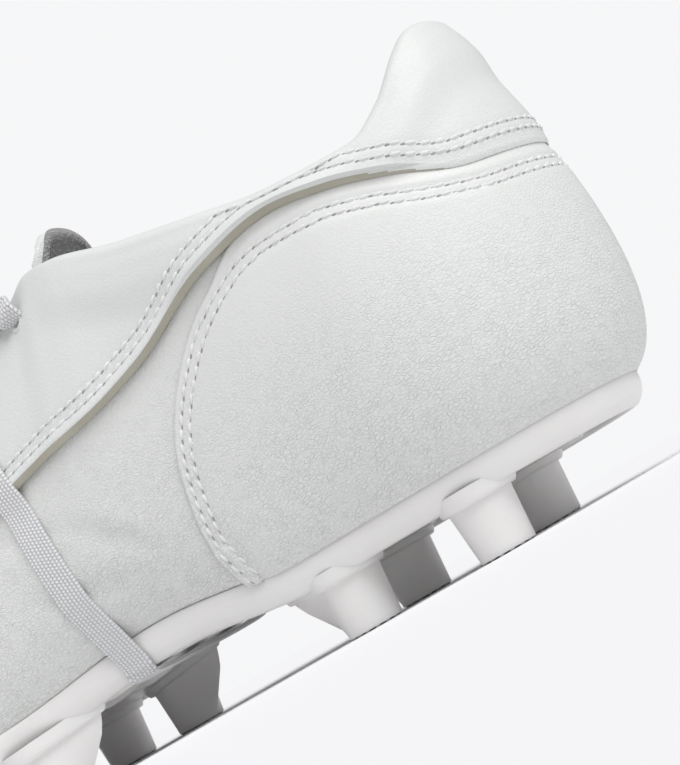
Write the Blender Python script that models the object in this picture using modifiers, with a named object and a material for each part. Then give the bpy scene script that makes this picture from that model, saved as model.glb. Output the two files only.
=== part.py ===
# Soccer cleat for the right foot, standing on its studs.
# It points its toe along +X, its inner (medial) side is +Y and the stud tips lie on z = 0.

import math
from collections import namedtuple

import bmesh
import bpy
import numpy as np
from mathutils import Matrix, Vector

MM = 0.001

# Driving sizes of the last and the upper
LENGTH = 285 * MM
HEEL_OVERHANG = 11 * MM
SOLE_LENGTH = 270 * MM
HEEL_WIDTH = 60 * MM
WAIST_WIDTH = 48 * MM
BALL_WIDTH = 88 * MM
COLLAR_WIDTH = 54 * MM
THROAT_WIDTH = 25 * MM
TAB_HEIGHT = 80.7 * MM
ANKLE_HEIGHT = 64 * MM
INSTEP_HEIGHT = 81.8 * MM
TOE_HEIGHT = 27.0 * MM
WALL = 2.0 * MM
COUNTER_WALL = 1.1 * MM
BAND_WALL = 1.6 * MM
GAP = 0.3 * MM
OVERLAY_GAP = 0.45 * MM
FEATHER_INSET = 0.6 * MM

# Driving sizes of the sole
STUD_HEIGHT = 13.0 * MM
RIM_HEIGHT = 7.3 * MM
RIM_WIDTH = 9.0 * MM
ARCH_RISE = 4.0 * MM
TOE_SPRING = 14.0 * MM
STUD_TIP = 12.6 * MM
STUD_BASE = 14.8 * MM
STUD_COLLAR = 1.5 * MM
COLLAR_STEP = 2.3 * MM
BUTTRESS = 17.5 * MM
STUD_BEVEL = 0.6 * MM
STUD_ROOT = 2.0 * MM
POCKET_DEPTH = 1.2 * MM
RIB_WIDTH = 2.4 * MM
RIB_HEIGHT = 1.0 * MM
RIB_ROOT = 1.0 * MM
RIVET_WIDTH = 5.2 * MM
RIVET_HEAD = 1.2 * MM
RIVET_DEPTH = 1.0 * MM
INSOLE_THICKNESS = 3.5 * MM

# Driving sizes of tongue and laces
TONGUE_THICKNESS = 3.6 * MM
TONGUE_FLANK = 13.0 * MM
TONGUE_CROWN = 2.2 * MM
TONGUE_RISE = 19.0 * MM
LACE_WIDTH = 7.0 * MM
LACE_THICKNESS = 1.1 * MM
EYELET_WIDTH = 4.4 * MM
EYELET_MARGIN = 8.0 * MM
CROSSING_ARCH = 2.0 * MM
TUCK_DEPTH = 0.4 * MM
TUCK_INSIDE = 3.6 * MM
EDGE_LIFT = 1.0 * MM
LACE_GAP = 0.7 * MM
LACE_LANDING = 13.0 * MM
ARCH_LACE_GAP = 0.9 * MM
RIM_CLEARANCE = 2.0 * MM
TONGUE_GAP = 1.0 * MM
EYELET_PAIRS = 5

# How finely the surfaces are divided
COLLAR_RIBS = 23
VAMP_RIBS = 9
RIB_ROWS = 8
STUD_SIDES = 16
RIVET_SIDES = 16
EYELET_SIDES = 10

# One row for each section of the last: where its foot stands on the sole's edge, and how its wall bulges.
# along is a share of SOLE_LENGTH, across, low_out and high_out are shares of half the width named in the row,
# top is the place of the rib's upper end as a share of LENGTH, low_up and high_down are shares of the height.
Section = namedtuple("Section", "name width along across top low_out low_up high_out high_down")

SECTIONS = [
    Section("heel back", HEEL_WIDTH, 0.000, 0.000, 0.0330, 0.550, 0.096, 0.300, 0.36),
    Section("heel corner, inner", HEEL_WIDTH, 0.017, 0.483, 0.0428, 0.480, 0.100, 0.290, 0.34),
    Section("heel side, inner", HEEL_WIDTH, 0.100, 0.920, 0.116, 0.400, 0.127, 0.280, 0.35),
    Section("seat, inner", HEEL_WIDTH, 0.204, 0.927, 0.214, 0.310, 0.120, 0.200, 0.36),
    Section("arch back, inner", WAIST_WIDTH, 0.330, 1.042, 0.323, 0.440, 0.120, 0.230, 0.36),
    Section("waist, inner", WAIST_WIDTH, 0.433, 0.917, 0.3965, 0.667, 0.150, 0.583, 0.28),
    Section("arch front, inner", BALL_WIDTH, 0.533, 0.648, 0.467, 0.273, 0.170, 0.455, 0.24),
    Section("ball back, inner", BALL_WIDTH, 0.633, 0.852, 0.554, 0.136, 0.210, 0.545, 0.18),
    Section("ball, inner", BALL_WIDTH, 0.737, 0.915, 0.656, 0.114, 0.260, 0.590, 0.03),
    Section("big toe", BALL_WIDTH, 0.844, 0.822, 0.765, 0.114, 0.290, 0.520, 0.00),
    Section("toe corner, inner", BALL_WIDTH, 0.937, 0.580, 0.860, 0.120, 0.320, 0.400, 0.00),
    Section("toe front, inner", BALL_WIDTH, 0.986, 0.270, 0.915, 0.120, 0.350, 0.330, 0.00),
    Section("toe tip", BALL_WIDTH, 1.000, -0.040, 0.933, 0.120, 0.370, 0.300, 0.00),
    Section("toe front, outer", BALL_WIDTH, 0.982, -0.360, 0.913, 0.120, 0.350, 0.330, 0.00),
    Section("toe corner, outer", BALL_WIDTH, 0.930, -0.660, 0.860, 0.120, 0.310, 0.440, 0.00),
    Section("small toe", BALL_WIDTH, 0.848, -0.890, 0.780, 0.100, 0.280, 0.540, 0.00),
    Section("ball front, outer", BALL_WIDTH, 0.755, -1.040, 0.692, 0.080, 0.260, 0.610, 0.02),
    Section("ball, outer", BALL_WIDTH, 0.648, -1.105, 0.6105, 0.070, 0.210, 0.636, 0.12),
    Section("ball back, outer", BALL_WIDTH, 0.544, -0.985, 0.523, 0.080, 0.180, 0.568, 0.20),
    Section("arch front, outer", BALL_WIDTH, 0.459, -0.752, 0.449, 0.180, 0.160, 0.430, 0.25),
    Section("waist, outer", WAIST_WIDTH, 0.374, -1.112, 0.372, 0.360, 0.120, 0.400, 0.33),
    Section("seat, outer", HEEL_WIDTH, 0.256, -1.015, 0.267, 0.210, 0.120, 0.180, 0.36),
    Section("heel side, outer", HEEL_WIDTH, 0.137, -1.095, 0.158, 0.200, 0.120, 0.150, 0.36),
    Section("heel quarter, outer", HEEL_WIDTH, 0.056, -0.950, 0.0772, 0.270, 0.120, 0.180, 0.35),
    Section("heel corner, outer", HEEL_WIDTH, 0.011, -0.495, 0.0386, 0.430, 0.100, 0.260, 0.35),
]

# The open edge of collar and throat, then the ridge over the toes, from heel to toe.
# along is a share of LENGTH, half a share of half the named width, rise a share of the named height above
# the sole's edge, middle the centre line's shift as a share of BALL_WIDTH.
Topline = namedtuple("Topline", "along half width rise height middle")

TOPLINE = [
    Topline(0.0330, 0.00, COLLAR_WIDTH, 1.000, TAB_HEIGHT, 0.000),
    Topline(0.0368, 0.23, COLLAR_WIDTH, 0.999, TAB_HEIGHT, 0.000),
    Topline(0.0439, 0.39, COLLAR_WIDTH, 0.990, TAB_HEIGHT, 0.000),
    Topline(0.0561, 0.545, COLLAR_WIDTH, 0.948, TAB_HEIGHT, 0.000),
    Topline(0.0807, 0.745, COLLAR_WIDTH, 1.070, ANKLE_HEIGHT, 0.000),
    Topline(0.1088, 0.890, COLLAR_WIDTH, 1.000, ANKLE_HEIGHT, 0.000),
    Topline(0.1684, 1.000, COLLAR_WIDTH, 1.019, ANKLE_HEIGHT, 0.000),
    Topline(0.2316, 1.000, COLLAR_WIDTH, 1.089, ANKLE_HEIGHT, 0.000),
    Topline(0.3018, 0.944, COLLAR_WIDTH, 0.923, INSTEP_HEIGHT, 0.000),
    Topline(0.3614, 0.833, COLLAR_WIDTH, 0.984, INSTEP_HEIGHT, -0.002),
    Topline(0.3930, 0.704, COLLAR_WIDTH, 1.000, INSTEP_HEIGHT, -0.004),
    Topline(0.4246, 1.240, THROAT_WIDTH, 0.966, INSTEP_HEIGHT, -0.006),
    Topline(0.4912, 1.000, THROAT_WIDTH, 0.880, INSTEP_HEIGHT, -0.010),
    Topline(0.5614, 0.840, THROAT_WIDTH, 0.803, INSTEP_HEIGHT, -0.012),
    Topline(0.6246, 0.680, THROAT_WIDTH, 0.715, INSTEP_HEIGHT, -0.012),
    Topline(0.6474, 0.440, THROAT_WIDTH, 0.682, INSTEP_HEIGHT, -0.012),
    Topline(0.6544, 0.000, THROAT_WIDTH, 0.673, INSTEP_HEIGHT, -0.012),
    Topline(0.7018, 0.000, THROAT_WIDTH, 0.613, INSTEP_HEIGHT, -0.010),
    Topline(0.7719, 0.000, THROAT_WIDTH, 0.534, INSTEP_HEIGHT, -0.004),
    Topline(0.8421, 0.000, THROAT_WIDTH, 0.467, INSTEP_HEIGHT, 0.000),
    Topline(0.8947, 0.000, THROAT_WIDTH, 1.230, TOE_HEIGHT, 0.000),
    Topline(0.9333, 0.000, THROAT_WIDTH, 1.000, TOE_HEIGHT, -0.002),
]
THROAT_END = 0.6544

# First and last pair of eyelets, and where the upper's ribs start to lean over the foot, as shares of LENGTH
EYELETS_START = 0.415
EYELETS_END = 0.628
LEAN_START = 0.36

# The rim's section from its top edge to the plate's floor: inset as a share of RIM_WIDTH, level of RIM_HEIGHT
RimStep = namedtuple("RimStep", "inset level")

RIM = [
    RimStep(0.00, 1.00),
    RimStep(0.00, 0.78),
    RimStep(0.06, 0.44),
    RimStep(0.22, 0.14),
    RimStep(0.50, 0.00),
    RimStep(0.78, 0.08),
    RimStep(1.00, 0.16),
]

# Studs: along is a share of SOLE_LENGTH, across of half the named width, and buttress of BUTTRESS.
# heading is the buttress's direction in degrees from +X, and no buttress leaves the stud round.
Stud = namedtuple("Stud", "along across width buttress heading")

STUDS = [
    Stud(0.133, 0.650, HEEL_WIDTH, 0.0, 0),
    Stud(0.133, -0.650, HEEL_WIDTH, 0.0, 0),
    Stud(0.2615, 0.563, HEEL_WIDTH, 1.0, -12),
    Stud(0.2615, -0.563, HEEL_WIDTH, 1.0, -9),
    Stud(0.572, 0.560, BALL_WIDTH, 1.0, 190),
    Stud(0.545, -0.700, BALL_WIDTH, 1.0, 165),
    Stud(0.676, 0.680, BALL_WIDTH, 0.0, 0),
    Stud(0.646, -0.860, BALL_WIDTH, 0.0, 0),
    Stud(0.722, -0.080, BALL_WIDTH, 0.0, 0),
    Stud(0.778, 0.640, BALL_WIDTH, 0.0, 0),
    Stud(0.752, -0.770, BALL_WIDTH, 0.0, 0),
    Stud(0.866, 0.450, BALL_WIDTH, 0.0, 0),
    Stud(0.850, -0.500, BALL_WIDTH, 0.0, 0),
]

# Ribs under the waist: start and end along (shares of SOLE_LENGTH) and across (of half WAIST_WIDTH)
WaistRib = namedtuple("WaistRib", "from_along from_across to_along to_across")

WAIST_RIBS = [
    WaistRib(0.315, 0.02, 0.560, -0.04),
    WaistRib(0.235, -0.16, 0.520, -0.80),
    WaistRib(0.345, 0.30, 0.540, 0.72),
]

# Lower edge of the collar band and front edge of the heel counter: along as a share of LENGTH,
# rise as a share of ANKLE_HEIGHT above the sole's edge
EdgePoint = namedtuple("EdgePoint", "along rise")

BAND_EDGE = [
    EdgePoint(0.000, 0.760),
    EdgePoint(0.044, 0.775),
    EdgePoint(0.091, 0.865),
    EdgePoint(0.137, 0.940),
    EdgePoint(0.189, 0.985),
    EdgePoint(0.249, 0.945),
    EdgePoint(0.330, 0.800),
    EdgePoint(0.400, 0.690),
    EdgePoint(0.500, 0.610),
    EdgePoint(0.600, 0.570),
    EdgePoint(0.650, 0.600),
    EdgePoint(0.690, 0.720),
]
COUNTER_EDGE = [
    EdgePoint(0.000, 1.400),
    EdgePoint(0.150, 1.200),
    EdgePoint(0.210, 0.960),
    EdgePoint(0.260, 0.830),
    EdgePoint(0.305, 0.640),
    EdgePoint(0.334, 0.440),
    EdgePoint(0.343, 0.330),
    EdgePoint(0.400, 0.200),
]
COUNTER_FRONT = 0.322

# Ribs that the arch lace follows: inner foot, outer foot and both tops, by their tops as shares of LENGTH
ARCH_TOPS = (0.412, 0.424, 0.530)

# Heel pocket: apex and arm ends of its front ledge (shares of SOLE_LENGTH and of half HEEL_WIDTH)
POCKET_APEX = 0.123
POCKET_ARM = 0.080
LEDGE_ACROSS = 0.84
PAD_INSIDE = 4.0 * MM
PAD_STEP = 0.9 * MM
RIVET_ALONG = 0.040
ARCH_CENTRE = 0.43
ARCH_HALF = 0.16
SPRING_START = 0.83


def clear_scene():
    for obj in list(bpy.data.objects):
        bpy.data.objects.remove(obj, do_unlink=True)


def new_collection(name):
    collection = bpy.data.collections.new(name)
    bpy.context.scene.collection.children.link(collection)
    return collection


# Smooth curves through the tables

def closed_curvatures(steps, values):
    count = len(values)
    matrix = np.zeros((count, count))
    right = np.zeros(count)
    for row in range(count):
        before = steps[row - 1]
        after = steps[row]
        following = (row + 1) % count
        matrix[row, row - 1] += before
        matrix[row, row] += 2 * (before + after)
        matrix[row, following] += after
        rise_after = (values[following] - values[row]) / after
        rise_before = (values[row] - values[row - 1]) / before
        right[row] = 6 * (rise_after - rise_before)
    return np.linalg.solve(matrix, right)


class ClosedCurves:
    # Cubic curves through all of a table's columns, closed at its end

    def __init__(self, points, columns):
        self.count = len(points)
        ahead = [points[(row + 1) % self.count] for row in range(self.count)]
        self.steps = [math.dist(points[row], ahead[row]) for row in range(self.count)]
        self.knots = np.concatenate([[0.0], np.cumsum(self.steps)])
        self.period = self.knots[-1]
        self.columns = columns
        self.bends = {}
        for name, values in columns.items():
            self.bends[name] = closed_curvatures(self.steps, values)

    def __call__(self, name, place):
        place = place % self.period
        row = min(int(np.searchsorted(self.knots, place, side="right")) - 1, self.count - 1)
        following = (row + 1) % self.count
        step = self.steps[row]
        share = (place - self.knots[row]) / step
        rest = 1 - share
        values = self.columns[name]
        bends = self.bends[name]
        curve = (rest ** 3 - rest) * bends[row] + (share ** 3 - share) * bends[following]
        return rest * values[row] + share * values[following] + curve * step * step / 6


def monotone(places, values, place):
    # Cubic through open table rows that never overshoots a row
    places = list(places)
    values = list(values)
    if place <= places[0]:
        return values[0]
    if place >= places[-1]:
        return values[-1]
    slopes = [(values[i + 1] - values[i]) / (places[i + 1] - places[i]) for i in range(len(places) - 1)]
    row = int(np.searchsorted(places, place, side="right")) - 1

    def tangent(index):
        if index == 0:
            return slopes[0]
        if index == len(places) - 1:
            return slopes[-1]
        if slopes[index - 1] * slopes[index] <= 0:
            return 0.0
        return 2 * slopes[index - 1] * slopes[index] / (slopes[index - 1] + slopes[index])

    step = places[row + 1] - places[row]
    share = (place - places[row]) / step
    start_weight = (1 + 2 * share) * (1 - share) ** 2
    end_weight = share * share * (3 - 2 * share)
    start_lean = share * (1 - share) ** 2 * step
    end_lean = share * share * (share - 1) * step
    return (start_weight * values[row] + end_weight * values[row + 1]
            + start_lean * tangent(row) + end_lean * tangent(row + 1))


def ramp(value, start, end):
    return min(1.0, max(0.0, (value - start) / (end - start)))


# The sole's levels

def sole_share(x):
    return (x - HEEL_OVERHANG) / SOLE_LENGTH


def lift(x):
    share = sole_share(x)
    arch_place = (share - ARCH_CENTRE) / ARCH_HALF
    arch = 0.5 * (1 + math.cos(math.pi * arch_place)) if abs(arch_place) < 1 else 0.0
    spring = max(0.0, (share - SPRING_START) / (1 - SPRING_START))
    return ARCH_RISE * arch + TOE_SPRING * spring ** 2


def rim_level(x, level):
    return STUD_HEIGHT + lift(x) + RIM_HEIGHT * level


def sole_top(x):
    return rim_level(x, 1.0)


def sole_floor(x):
    return rim_level(x, RIM[-1].level)


# The last: an outline on the sole, and a rib from each place on it up to the open edge or the ridge

outline_points = []
for section in SECTIONS:
    outline_points.append((HEEL_OVERHANG + section.along * SOLE_LENGTH, section.across * section.width / 2))

last_curves = ClosedCurves(outline_points, {
    "x": [point[0] for point in outline_points],
    "y": [point[1] for point in outline_points],
    "top": [section.top * LENGTH for section in SECTIONS],
    "low_out": [section.low_out * section.width / 2 for section in SECTIONS],
    "low_up": [section.low_up for section in SECTIONS],
    "high_out": [section.high_out * section.width / 2 for section in SECTIONS],
    "high_down": [section.high_down for section in SECTIONS],
})
TOE_ROW = [section.name for section in SECTIONS].index("toe tip")
TOE_PLACE = last_curves.knots[TOE_ROW]


def sole_edge(place, inset=0.0):
    # Point of the sole's outline in plan, moved inwards, and the outward direction there
    step = 0.5 * MM
    x = last_curves("x", place)
    y = last_curves("y", place)
    along = Vector((last_curves("x", place + step) - last_curves("x", place - step),
                    last_curves("y", place + step) - last_curves("y", place - step), 0)).normalized()
    outward = Vector((-along.y, along.x, 0))
    return Vector((x, y, 0)) - outward * inset, outward


def top_value(column, x):
    places = [row.along * LENGTH for row in TOPLINE]
    if column == "half":
        values = [row.half * row.width / 2 for row in TOPLINE]
    elif column == "rise":
        values = [row.rise * row.height for row in TOPLINE]
    else:
        values = [row.middle * BALL_WIDTH for row in TOPLINE]
    return monotone(places, values, x)


def top_point(x, side):
    y = top_value("middle", x) + side * top_value("half", x)
    return Vector((x, y, sole_top(x) + top_value("rise", x)))


def ridge_direction(x):
    step = 1.0 * MM
    return (top_point(x + step, 0) - top_point(x - step, 0)).normalized()


def find_place(side, top):
    # The place on the outline, on the inner (1) or outer (-1) side, whose rib ends at this top
    if side > 0:
        low, high = 0.0, TOE_PLACE
    else:
        low, high = last_curves.period, TOE_PLACE
    for _ in range(48):
        middle = (low + high) / 2
        if last_curves("top", middle) < top:
            low = middle
        else:
            high = middle
    return (low + high) / 2


def rib_frame(place):
    place = place % last_curves.period
    side = 1 if place <= TOE_PLACE else -1
    foot, outward = sole_edge(place, FEATHER_INSET)
    foot.z = sole_top(foot.x) + GAP
    top_x = last_curves("top", place)
    top = top_point(top_x, side)
    height = top.z - foot.z
    reach = Vector((foot.x - top.x, foot.y - top.y, 0)).normalized()
    over_ridge = ridge_direction(top_x) * reach.x + Vector((0, side * abs(reach.y), 0))
    share = ramp(top_x, LEAN_START * LENGTH, THROAT_END * LENGTH)
    blend = share * share * (3 - 2 * share)
    top_outward = (outward * (1 - blend) + over_ridge * blend).normalized()
    low = foot + outward * last_curves("low_out", place)
    low.z += height * last_curves("low_up", place)
    high = top + top_outward * last_curves("high_out", place)
    high.z -= height * last_curves("high_down", place)
    return foot, low, high, top


def on_rib(frame, share):
    rest = 1 - share
    return (frame[0] * rest ** 3 + frame[1] * (3 * rest * rest * share)
            + frame[2] * (3 * rest * share * share) + frame[3] * share ** 3)


def upper_point(place, share, lifted=0.0):
    # Point of the upper's outer face, moved out along the face's normal
    frame = rib_frame(place)
    point = on_rib(frame, share)
    if lifted == 0.0:
        return point
    return point + upper_normal(place, share) * lifted


def upper_normal(place, share):
    step = 1.0 * MM
    frame = rib_frame(place)
    if share > 0.98:
        upward = on_rib(frame, share) - on_rib(frame, share - 0.02)
    else:
        upward = on_rib(frame, share + 0.02) - on_rib(frame, share)
    around = on_rib(rib_frame(place + step), share) - on_rib(rib_frame(place - step), share)
    return upward.cross(around).normalized()


def rib_places():
    # Places of the ribs on the inner side, and those on the outer side that end at the same tops
    throat_place = find_place(1, THROAT_END * LENGTH)
    inner = [throat_place * rib / COLLAR_RIBS for rib in range(COLLAR_RIBS + 1)]
    for rib in range(1, VAMP_RIBS + 1):
        inner.append(throat_place + (TOE_PLACE - throat_place) * rib / VAMP_RIBS)
    outer = [find_place(-1, last_curves("top", place)) for place in inner]
    outer[0] = 0.0
    outer[-1] = TOE_PLACE
    return inner, outer


INNER_PLACES, OUTER_PLACES = rib_places()


# Meshes

def mesh_object(name, vertices, faces, collection):
    mesh = bpy.data.meshes.new(name)
    mesh.from_pydata([tuple(vertex) for vertex in vertices], [], faces)
    mesh.update()
    obj = bpy.data.objects.new(name, mesh)
    collection.objects.link(obj)
    return obj


def weld_and_orient(obj, distance=0.01 * MM):
    work = bmesh.new()
    work.from_mesh(obj.data)
    bmesh.ops.remove_doubles(work, verts=work.verts, dist=distance)
    bmesh.ops.dissolve_degenerate(work, edges=work.edges, dist=distance)
    bmesh.ops.triangulate(work, faces=work.faces)
    bmesh.ops.recalc_face_normals(work, faces=work.faces)
    work.to_mesh(obj.data)
    work.free()


def make_cutter(obj):
    obj.hide_render = True
    obj.display_type = "WIRE"
    return obj


def loft(name, rings, collection):
    # Closed solid through rings of equal count, with both ends capped
    vertices = [point for ring in rings for point in ring]
    count = len(rings[0])
    faces = []
    for ring in range(len(rings) - 1):
        for side in range(count):
            following = (side + 1) % count
            faces.append((ring * count + side, ring * count + following,
                          (ring + 1) * count + following, (ring + 1) * count + side))
    faces.append(tuple(range(count)))
    last = (len(rings) - 1) * count
    faces.append(tuple(range(last + count - 1, last - 1, -1)))
    obj = mesh_object(name, vertices, faces, collection)
    weld_and_orient(obj)
    return obj


def shade(obj, angle=35):
    obj.data.shade_smooth()
    obj.data.set_sharp_from_angle(angle=math.radians(angle))


def give_material(obj, color, roughness, metallic=0.0):
    material = bpy.data.materials.new(obj.name)
    material.use_nodes = True
    shader = material.node_tree.nodes["Principled BSDF"]
    shader.inputs["Base Color"].default_value = (*color, 1)
    shader.inputs["Roughness"].default_value = roughness
    shader.inputs["Metallic"].default_value = metallic
    obj.data.materials.clear()
    obj.data.materials.append(material)


def add_boolean(obj, operation, other):
    modifier = obj.modifiers.new(operation.title(), "BOOLEAN")
    modifier.operation = operation
    modifier.solver = "EXACT"
    if isinstance(other, bpy.types.Collection):
        modifier.operand_type = "COLLECTION"
        modifier.collection = other
    else:
        modifier.object = other


def slab(name, rings, middle_level_low, middle_level_high, collection):
    # Closed solid through rings on the sole's outline, filled across at its first and last ring.
    # A ring is a function of the place on the outline.
    inner = INNER_PLACES
    places = inner + OUTER_PLACES[-2:0:-1]
    count = len(places)
    vertices = [ring(place) for ring in rings for place in places]
    faces = []
    for ring in range(len(rings) - 1):
        for side in range(count):
            following = (side + 1) % count
            faces.append((ring * count + side, ring * count + following,
                          (ring + 1) * count + following, (ring + 1) * count + side))
    last_rib = len(inner) - 1
    for ring, level in ((0, middle_level_low), (len(rings) - 1, middle_level_high)):
        base = ring * count

        def index_of(side, rib):
            if rib in (0, last_rib):
                return base + rib
            return base + rib if side > 0 else base + count - rib

        middles = []
        for rib in range(last_rib + 1):
            if rib in (0, last_rib):
                middles.append(base + rib)
                continue
            middle = (vertices[index_of(1, rib)] + vertices[index_of(-1, rib)]) / 2
            middle.z = level(middle.x)
            vertices.append(middle)
            middles.append(len(vertices) - 1)
        for rib in range(last_rib):
            for side in (1, -1):
                corners = [index_of(side, rib), index_of(side, rib + 1), middles[rib + 1], middles[rib]]
                unique = list(dict.fromkeys(corners))
                if len(unique) > 2:
                    faces.append(tuple(unique))
    obj = mesh_object(name, vertices, faces, collection)
    weld_and_orient(obj)
    return obj


# Sole

def rim_ring(step):
    def ring(place):
        point, _ = sole_edge(place, step.inset * RIM_WIDTH)
        point.z = rim_level(point.x, step.level)
        return point
    return ring


def teardrop(radius, reach, heading):
    # Radius at each of the stud's sides: a circle, with a straight-sided corner where reach is longer
    open_angle = math.acos(min(1.0, radius / max(reach, radius)))
    points = []
    for side in range(STUD_SIDES):
        angle = 2 * math.pi * side / STUD_SIDES
        away = min(angle, 2 * math.pi - angle)
        distance = radius / math.cos(open_angle - away) if away < open_angle else radius
        points.append(Vector((math.cos(angle + heading), math.sin(angle + heading), 0)) * distance)
    return points


def stud_solid(name, stud, collection):
    centre = Vector((HEEL_OVERHANG + stud.along * SOLE_LENGTH, stud.across * stud.width / 2, 0))
    heading = math.radians(stud.heading)
    floor = sole_floor(centre.x)
    base = STUD_BASE / 2
    tip = STUD_TIP / 2
    reach = stud.buttress * BUTTRESS
    collar = STUD_COLLAR
    profile = [
        (base + collar, reach + collar, floor + STUD_ROOT),
        (base + collar, reach + collar, floor - COLLAR_STEP * 0.5),
        (base + collar * 0.6, reach + collar * 0.6, floor - COLLAR_STEP),
        (base, reach, floor - COLLAR_STEP),
        (tip, tip, STUD_BEVEL),
        (tip - STUD_BEVEL, tip - STUD_BEVEL, 0.0),
    ]
    rings = []
    for radius, corner, level in profile:
        ring = [centre + point for point in teardrop(radius, corner, heading)]
        for point in ring:
            point.z = level
        rings.append(ring)
    return make_cutter(loft(name, rings, collection))


def waist_rib_solid(name, rib, collection):
    start = Vector((HEEL_OVERHANG + rib.from_along * SOLE_LENGTH, rib.from_across * WAIST_WIDTH / 2, 0))
    end = Vector((HEEL_OVERHANG + rib.to_along * SOLE_LENGTH, rib.to_across * WAIST_WIDTH / 2, 0))
    across = (end - start).normalized().cross(Vector((0, 0, 1)))
    rings = []
    steps = 6
    for step in range(steps + 1):
        share = step / steps
        centre = start.lerp(end, share)
        fade = math.sin(math.pi * (0.12 + 0.76 * share))
        ring = []
        crest = -RIB_HEIGHT * fade
        for sideways, rise in ((-1.6, RIB_ROOT), (1.6, RIB_ROOT), (0.8, crest), (-0.8, crest)):
            point = centre + across * (RIB_WIDTH / 2 * fade * sideways)
            point.z = sole_floor(centre.x) + rise
            ring.append(point)
        rings.append(ring)
    return make_cutter(loft(name, rings, collection))


def ledge_point(name):
    across = {"apex": 0.0, "inner arm": LEDGE_ACROSS, "outer arm": -LEDGE_ACROSS}[name]
    along = POCKET_APEX if name == "apex" else POCKET_ARM
    return Vector((HEEL_OVERHANG + along * SOLE_LENGTH, across * HEEL_WIDTH / 2, 0))


def pocket_solid(collection):
    # Behind a ledge with its apex forward, the heel's floor is deeper, and it slopes up to the rim
    apex = ledge_point("apex")
    mouth = rim_level(HEEL_OVERHANG, -0.15)
    ceiling = sole_floor(HEEL_OVERHANG) + POCKET_DEPTH
    rings = []
    for inset, level in ((0.62, mouth), (1.15, ceiling)):
        outline = []
        for places in (INNER_PLACES[:COLLAR_RIBS], OUTER_PLACES[COLLAR_RIBS:0:-1]):
            points = [sole_edge(place, inset * RIM_WIDTH)[0] for place in places]
            outline += [point for point in points if point.x < ledge_point("inner arm").x]
            if places[0] == 0.0:
                outline.append(apex.copy())
        for point in outline:
            point.z = level
        rings.append(outline)
    return make_cutter(loft("pocket_cutter", rings, collection))


def stud_pad_solid(name, side, collection):
    # Flat pad from just behind the ledge forward, under a rear stud
    stud = STUDS[0]
    stud_x = HEEL_OVERHANG + stud.along * SOLE_LENGTH
    stud_y = side * stud.across * stud.width / 2
    arm = ledge_point("inner arm" if side > 0 else "outer arm")
    outline = [arm + Vector((-GAP, 0, 0)), ledge_point("apex") + Vector((-GAP, side * GAP, 0)),
               Vector((stud_x, side * PAD_INSIDE, 0)),
               Vector((stud_x + STUD_BASE * 0.75, stud_y - side * STUD_BASE / 2, 0)),
               Vector((stud_x + STUD_BASE * 0.75, stud_y + side * STUD_BASE / 3, 0))]
    floor = sole_floor(stud_x)
    rings = []
    for level in (floor + STUD_ROOT * 0.8, floor - PAD_STEP):
        rings.append([Vector((point.x, point.y, level)) for point in outline])
    return make_cutter(loft(name, rings, collection))


def cylinder(name, radius, length, centre, axis, sides, collection):
    # Round its centre, along its axis
    turn = axis.to_track_quat("Z", "Y").to_matrix().to_4x4()
    work = bmesh.new()
    bmesh.ops.create_cone(work, cap_ends=True, segments=sides, radius1=radius, radius2=radius,
                          depth=length, matrix=Matrix.Translation(centre) @ turn)
    mesh = bpy.data.meshes.new(name)
    work.to_mesh(mesh)
    work.free()
    obj = bpy.data.objects.new(name, mesh)
    collection.objects.link(obj)
    return obj


def make_outsole(parts, joined, cutters):
    rings = [rim_ring(step) for step in RIM]
    plate = slab("outsole", rings, sole_top, sole_floor, parts)
    for index, stud in enumerate(STUDS):
        stud_solid("stud_%02d" % index, stud, joined)
    for index, rib in enumerate(WAIST_RIBS):
        waist_rib_solid("waist_rib_%d" % index, rib, joined)
    pads = [stud_pad_solid("stud_pad_%d" % side, side, cutters) for side in (1, -1)]
    seat = HEEL_OVERHANG + RIVET_ALONG * SOLE_LENGTH
    pocket_floor = sole_floor(HEEL_OVERHANG) + POCKET_DEPTH
    hole_end = pocket_floor + RIVET_DEPTH + RIVET_HEAD + GAP
    up = Vector((0, 0, 1))
    pocket = pocket_solid(cutters)
    hole = make_cutter(cylinder("rivet_cutter", RIVET_WIDTH / 2 + GAP, hole_end,
                                Vector((seat, 0, hole_end / 2)), up, RIVET_SIDES, cutters))
    add_boolean(plate, "DIFFERENCE", pocket)
    add_boolean(plate, "DIFFERENCE", hole)
    for pad in pads:
        add_boolean(plate, "UNION", pad)
    add_boolean(plate, "UNION", joined)
    shade(plate)
    give_material(plate, (0.80, 0.79, 0.77), 0.38)
    middle = pocket_floor + RIVET_DEPTH + RIVET_HEAD / 2
    rivet = cylinder("heel_rivet", RIVET_WIDTH / 2, RIVET_HEAD, Vector((seat, 0, middle)), up,
                     RIVET_SIDES, parts)
    shade(rivet)
    give_material(rivet, (0.28, 0.24, 0.20), 0.4, 0.9)


def make_insole(parts):
    inset = FEATHER_INSET + WALL + 2 * GAP

    def level_ring(extra, inwards):
        def ring(place):
            point, _ = sole_edge(place, inset + inwards)
            point.z = sole_top(point.x) + GAP + extra
            return point
        return ring

    rings = [level_ring(0.0, 0.0), level_ring(INSOLE_THICKNESS, 0.0)]
    insole = slab("insole", rings, lambda x: sole_top(x) + GAP,
                  lambda x: sole_top(x) + GAP + INSOLE_THICKNESS, parts)
    shade(insole)
    give_material(insole, (0.55, 0.55, 0.54), 0.9)


# Upper and its overlays

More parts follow.
